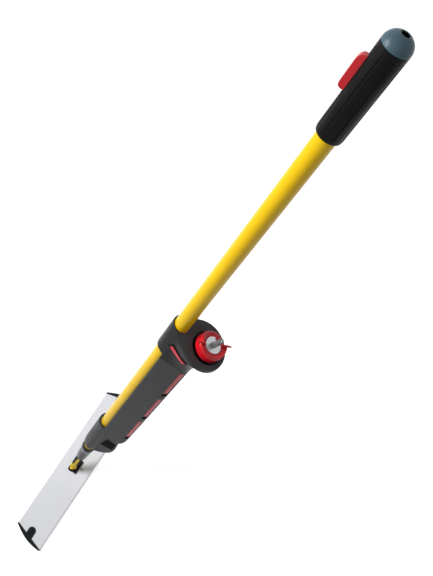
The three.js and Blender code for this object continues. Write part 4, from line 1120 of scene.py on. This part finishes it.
@dataclass
class Head(Assembly):
    """The reservoir's head with its filler and coupling."""

    disc_core: float = 8 * MM
    widen: float = 1.1
    window_x: float = 24.5 * MM
    window_below: float = 44 * MM
    window_lean: float = 24.5
    window_length: float = 39 * MM
    strip_half: float = 4.4 * MM
    outside: float = 60 * MM
    probes: tuple[float, ...] = (-9 * MM, -5.5 * MM, 5.5 * MM, 9 * MM)
    window_grid: tuple[int, int] = (30, 8)

    def __post_init__(self) -> None:
        """Reads the head's surface and top from its CAD node."""
        mesh = self.shop.frame["nodes"]["head_shell"].data
        back = self.shop.handle.matrix.inverted()
        self.skin = BVHTree.FromPolygons([back @ vertex.co for vertex in mesh.vertices],
                                         [tuple(face.vertices) for face in mesh.polygons])
        filler = back @ self.shop.filler.origin
        lean = (back.to_3x3() @ self.shop.filler.z).normalized()
        self.window_z = filler.z + filler.x * lean.x / lean.z - self.window_below

    def build(self) -> None:
        """Builds the head and everything on it but the cap."""
        shop = self.shop
        self.copies(0.9 * MM, 4, "head_shell")
        for side, node in ((-1, "head_pane_left"), (1, "head_pane_right")):
            self.shoulder_window(node, side)
        self.copies(0.35 * MM, 3, "tank_neck", "cap_gasket", "coupling_disc", "nipple_poppet")
        self.copies(0.35 * MM, 3, "coupling_nipple", look="nipple_grey")
        self.widen_disc()
        coil_spring(shop, "poppet_spring", shop.filler, 0.5 * MM, 5)

    def shoulder(self, side: int, along: float) -> list[Point]:
        """How far out the head's shoulder lies at a few heights beside its window.

        Args:
            side: 1 or -1, along the handle's y.
            along: the place along the window, from its middle.

        Returns:
            Each of self.probes with its distance from the handle's middle plane.
        """
        found = []
        for across in self.probes:
            x, z = self.window_point(along, across)
            hit = self.skin.ray_cast(Vector((x, side * self.outside, z)), Vector((0, -side, 0)))[0]
            found.append((across, side * hit.y))
        return found

    def window_point(self, along: float, across: float) -> Point:
        """A place beside the window's centre line as the handle's x and z."""
        lean = math.radians(self.window_lean)
        return (self.window_x + along * math.cos(lean) + across * math.sin(lean),
                self.window_z - along * math.sin(lean) + across * math.cos(lean))

    def shoulder_sheet(self, name: str, side: int, length: float, edges: Point,
                       proud: float, thick: float) -> Piece:
        """A sheet that follows the shoulder over its window.

        Args:
            name: the piece's name.
            side: 1 or -1, along the handle's y.
            length: its length.
            edges: its lower and upper edges, from the window's centre line.
            proud: how far its face stands out of the shoulder.
            thick: its thickness.

        Returns:
            The piece, not dressed yet.
        """
        columns, rows = self.window_grid
        low, high = edges
        vertices, faces = [], []
        for i in range(columns + 1):
            along = length * (i / columns - 0.5)
            known = self.shoulder(side, along)
            for k in range(rows + 1):
                across = low + (high - low) * k / rows
                x, z = self.window_point(along, across)
                vertices.append((x, side * (through(known, across) + proud), z))
        for i in range(columns):
            for k in range(rows):
                first = i * (rows + 1) + k
                faces.append((first, first + rows + 1, first + rows + 2, first + 1)[::side])
        mesh = mesh_at(name, vertices, faces, self.shop.handle)
        smooth(mesh)
        piece = new_piece(name, mesh)
        walled(piece, thick)
        rounded(piece, 0.3 * MM, 3)
        return piece

    def shoulder_window(self, node: str, side: int) -> None:
        """The clear strip of one shoulder window, and a black sheet round it, wider below it:
        painted shade for the window's recess.
        """
        shop = self.shop
        strip = self.shoulder_sheet(f"{node}_strip", side, self.window_length,
                                    (-self.strip_half, self.strip_half), 0.9 * MM, 1.2 * MM)
        shop.finish(strip, node)
        # painted shade: a black sheet round the strip, wider below it, stands in for the shade of
        # the window's recess
        dark = self.shoulder_sheet(f"{node}_painted_shade_surround", side, self.window_length + 7 * MM,
                                   (-self.strip_half - 4 * MM, self.strip_half + 1.5 * MM),
                                   0.3 * MM, 0.8 * MM)
        shop.finish(dark, slot="inner_black", body=shop.body_of(node))

    def widen_disc(self) -> None:
        """Brings the steel disc's rim out to the cap's ring."""
        disc = bpy.data.objects["coupling_disc_fine"].data
        into, back = self.shop.filler.matrix, self.shop.filler.matrix.inverted()
        for vertex in disc.vertices:
            place = back @ vertex.co
            if math.hypot(place.x, place.y) > self.disc_core:
                vertex.co = into @ Vector((place.x * self.widen, place.y * self.widen, place.z))


@dataclass
class Grip(Assembly):
    """The ribbed grip, its end cap and the trigger."""

    hole: float = 5.38 * MM

    def painted_shade_lining(self) -> None:
        """A black sleeve in the hanging hole: painted shade for the dark inside of the hole."""
        shop = self.shop
        dome = shop.extent("grip_end_cap", shop.handle)
        low, high = dome.low.z + 1 * MM, dome.high.z - 0.5 * MM
        outline = [(self.hole, low), (self.hole, high), (self.hole - 0.5 * MM, high),
                   (self.hole - 0.7 * MM, low)]
        # painted shade: a black sleeve stands in for the shade inside the hole
        piece = turned("hanging_hole_lining", outline, shop.handle, 64)
        shop.finish(piece, slot="inner_black", body=shop.body_of("grip_end_cap"))

    def build(self) -> None:
        """Builds the grip, the dome and the trigger."""
        self.copies(0.6 * MM, 3, "grip_sleeve")
        self.copies(0.5 * MM, 2, "grip_end_cap")
        self.painted_shade_lining()
        self.copies(1.6 * MM, 4, "trigger_lever")
        self.copies(0.2 * MM, 2, "trigger_pin", "link_pin")


@dataclass
class Pump(Assembly):
    """The pump and pull rod inside the pole."""

    def build(self) -> None:
        """Builds the hidden works."""
        self.copies(0, 2, "pull_rod", "rod_guide_low", "rod_guide_middle", "rod_guide_high",
                    "pump_barrel", "pump_gland", "pump_piston", "piston_seal")
        coil_spring(self.shop, "pump_spring", self.shop.handle, 0.7 * MM, 7)


# ---------- studio ----------


@dataclass
class Studio:
    """The camera, the lamps, the world and the floor."""

    place: Vector = Vector((0.22277, -0.68410, 1.72517))
    right: Vector = Vector((0.5414, -0.8217, -0.1779))
    back: Vector = Vector((-0.2103, -0.3372, 0.9176))
    focal: float = 40.88
    sensor: float = 36.0
    sky: float = 0.24
    key: float = 31.0
    fill: float = 1.2
    glow: float = 0.55
    floor_grey: float = 0.9
    floor_half: float = 6.0

    @property
    def up(self) -> Vector:
        """The camera's upward direction."""
        return self.back.cross(self.right)

    @staticmethod
    def seen_directly(bench: Bench) -> Shade:
        """1 for what the camera sees, straight or by gloss or glass, and 0 for other light."""
        rays = [bench.node("ShaderNodeLightPath", output=f"Is {kind} Ray")
                for kind in ("Camera", "Glossy", "Transmission")]
        return (rays[0] + rays[1] + rays[2]).above(0, 1)

    def camera(self) -> None:
        """Places the camera."""
        data = bpy.data.cameras.new("camera")
        data.lens = self.focal
        data.sensor_width = self.sensor
        camera = bpy.data.objects.new("camera", data)
        turn = Matrix((self.right, self.up, self.back)).transposed()
        camera.matrix_world = Matrix.Translation(self.place) @ turn.to_4x4()
        bpy.context.scene.collection.objects.link(camera)
        bpy.context.scene.camera = camera

    def lamp(self, name: str, aim: Vector, away: Vector, size: float, power: float) -> None:
        """Adds a square soft lamp.

        Args:
            name: its name.
            aim: the point that it faces.
            away: from that point to the lamp.
            size: its side.
            power: its power in watts.
        """
        data = bpy.data.lights.new(name, "AREA")
        data.size = size
        data.energy = power
        lamp = bpy.data.objects.new(name, data)
        lamp.location = aim + away
        lamp.rotation_euler = away.to_track_quat("Z", "Y").to_euler()
        bpy.context.scene.collection.objects.link(lamp)

    def lights(self) -> None:
        """Adds a key lamp on the left, a weak fill, and a pale world."""
        aim = Vector((0.3, -0.25, 0.55))
        self.lamp("key", aim, self.right * -1.2 + self.up * 0.8 + self.back * 1.0, 0.9, self.key)
        self.lamp("fill", aim, self.right * 1.2 + self.up * 0.3 + self.back * 1.2, 1.4, self.fill)
        world = bpy.data.worlds.new("studio")
        world.use_nodes = True
        bpy.context.scene.world = world
        bench = Bench(world.node_tree)
        seen = bench.tree.nodes["Background"]
        seen.inputs["Color"].default_value = WHITE
        sky = bench.node("ShaderNodeBackground", {}, {"Color": WHITE, "Strength": self.sky})
        mixed = bench.node("ShaderNodeMixShader", {}, {
            0: self.seen_directly(bench), 1: sky, 2: Shade(bench.tree, seen.outputs[0])})
        bench.finish("World Output", mixed)

    def floor(self) -> None:
        """Lays a pale floor that keeps the soft shadow."""
        half, grey = self.floor_half, self.floor_grey
        mesh = bpy.data.meshes.new("floor")
        mesh.from_pydata([(-half, -half, 0), (half, -half, 0), (half, half, 0), (-half, half, 0)],
                         [], [(0, 1, 2, 3)])
        floor = new_piece("floor", mesh)
        material = bpy.data.materials.new("floor")
        material.use_nodes = True
        palette = Palette(material.node_tree)
        shader = palette.tree.nodes["Principled BSDF"]
        shader.inputs["Base Color"].default_value = (grey, grey, grey, 1)
        shader.inputs["Roughness"].default_value = 0.9
        shader.inputs["Specular IOR Level"].default_value = 0.0
        seen = self.seen_directly(palette)
        glow = palette.node("ShaderNodeEmission", {}, {"Color": WHITE, "Strength": self.glow})
        plain = Shade(palette.tree, shader.outputs[0])
        both = palette.node("ShaderNodeAddShader", {}, {0: plain, 1: glow})
        mixed = palette.node("ShaderNodeMixShader", {}, {0: seen, 1: plain, 2: both})
        palette.finish("Material Output", mixed)
        floor.data.materials.append(material)

    def build(self) -> None:
        """Sets up the whole studio."""
        self.camera()
        self.lights()
        self.floor()
        bpy.context.scene.view_settings.view_transform = "Standard"


def main() -> None:
    """Builds the mop's looks round its frame."""
    logging.basicConfig(level=logging.INFO, format="%(name)s %(message)s")
    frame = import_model()
    Studio().build()
    shop = Workshop(frame, {})
    shop.materials.update({slot: finish.build() for slot, finish in finishes(shop.filler).items()})
    for assembly in (Plate, Pole, Nozzles, Reservoir, Head, FillCap, Grip, Pump):
        LOG.info("building %s", assembly.__name__)
        assembly(shop).build()


if __name__ == "__main__":
    main()
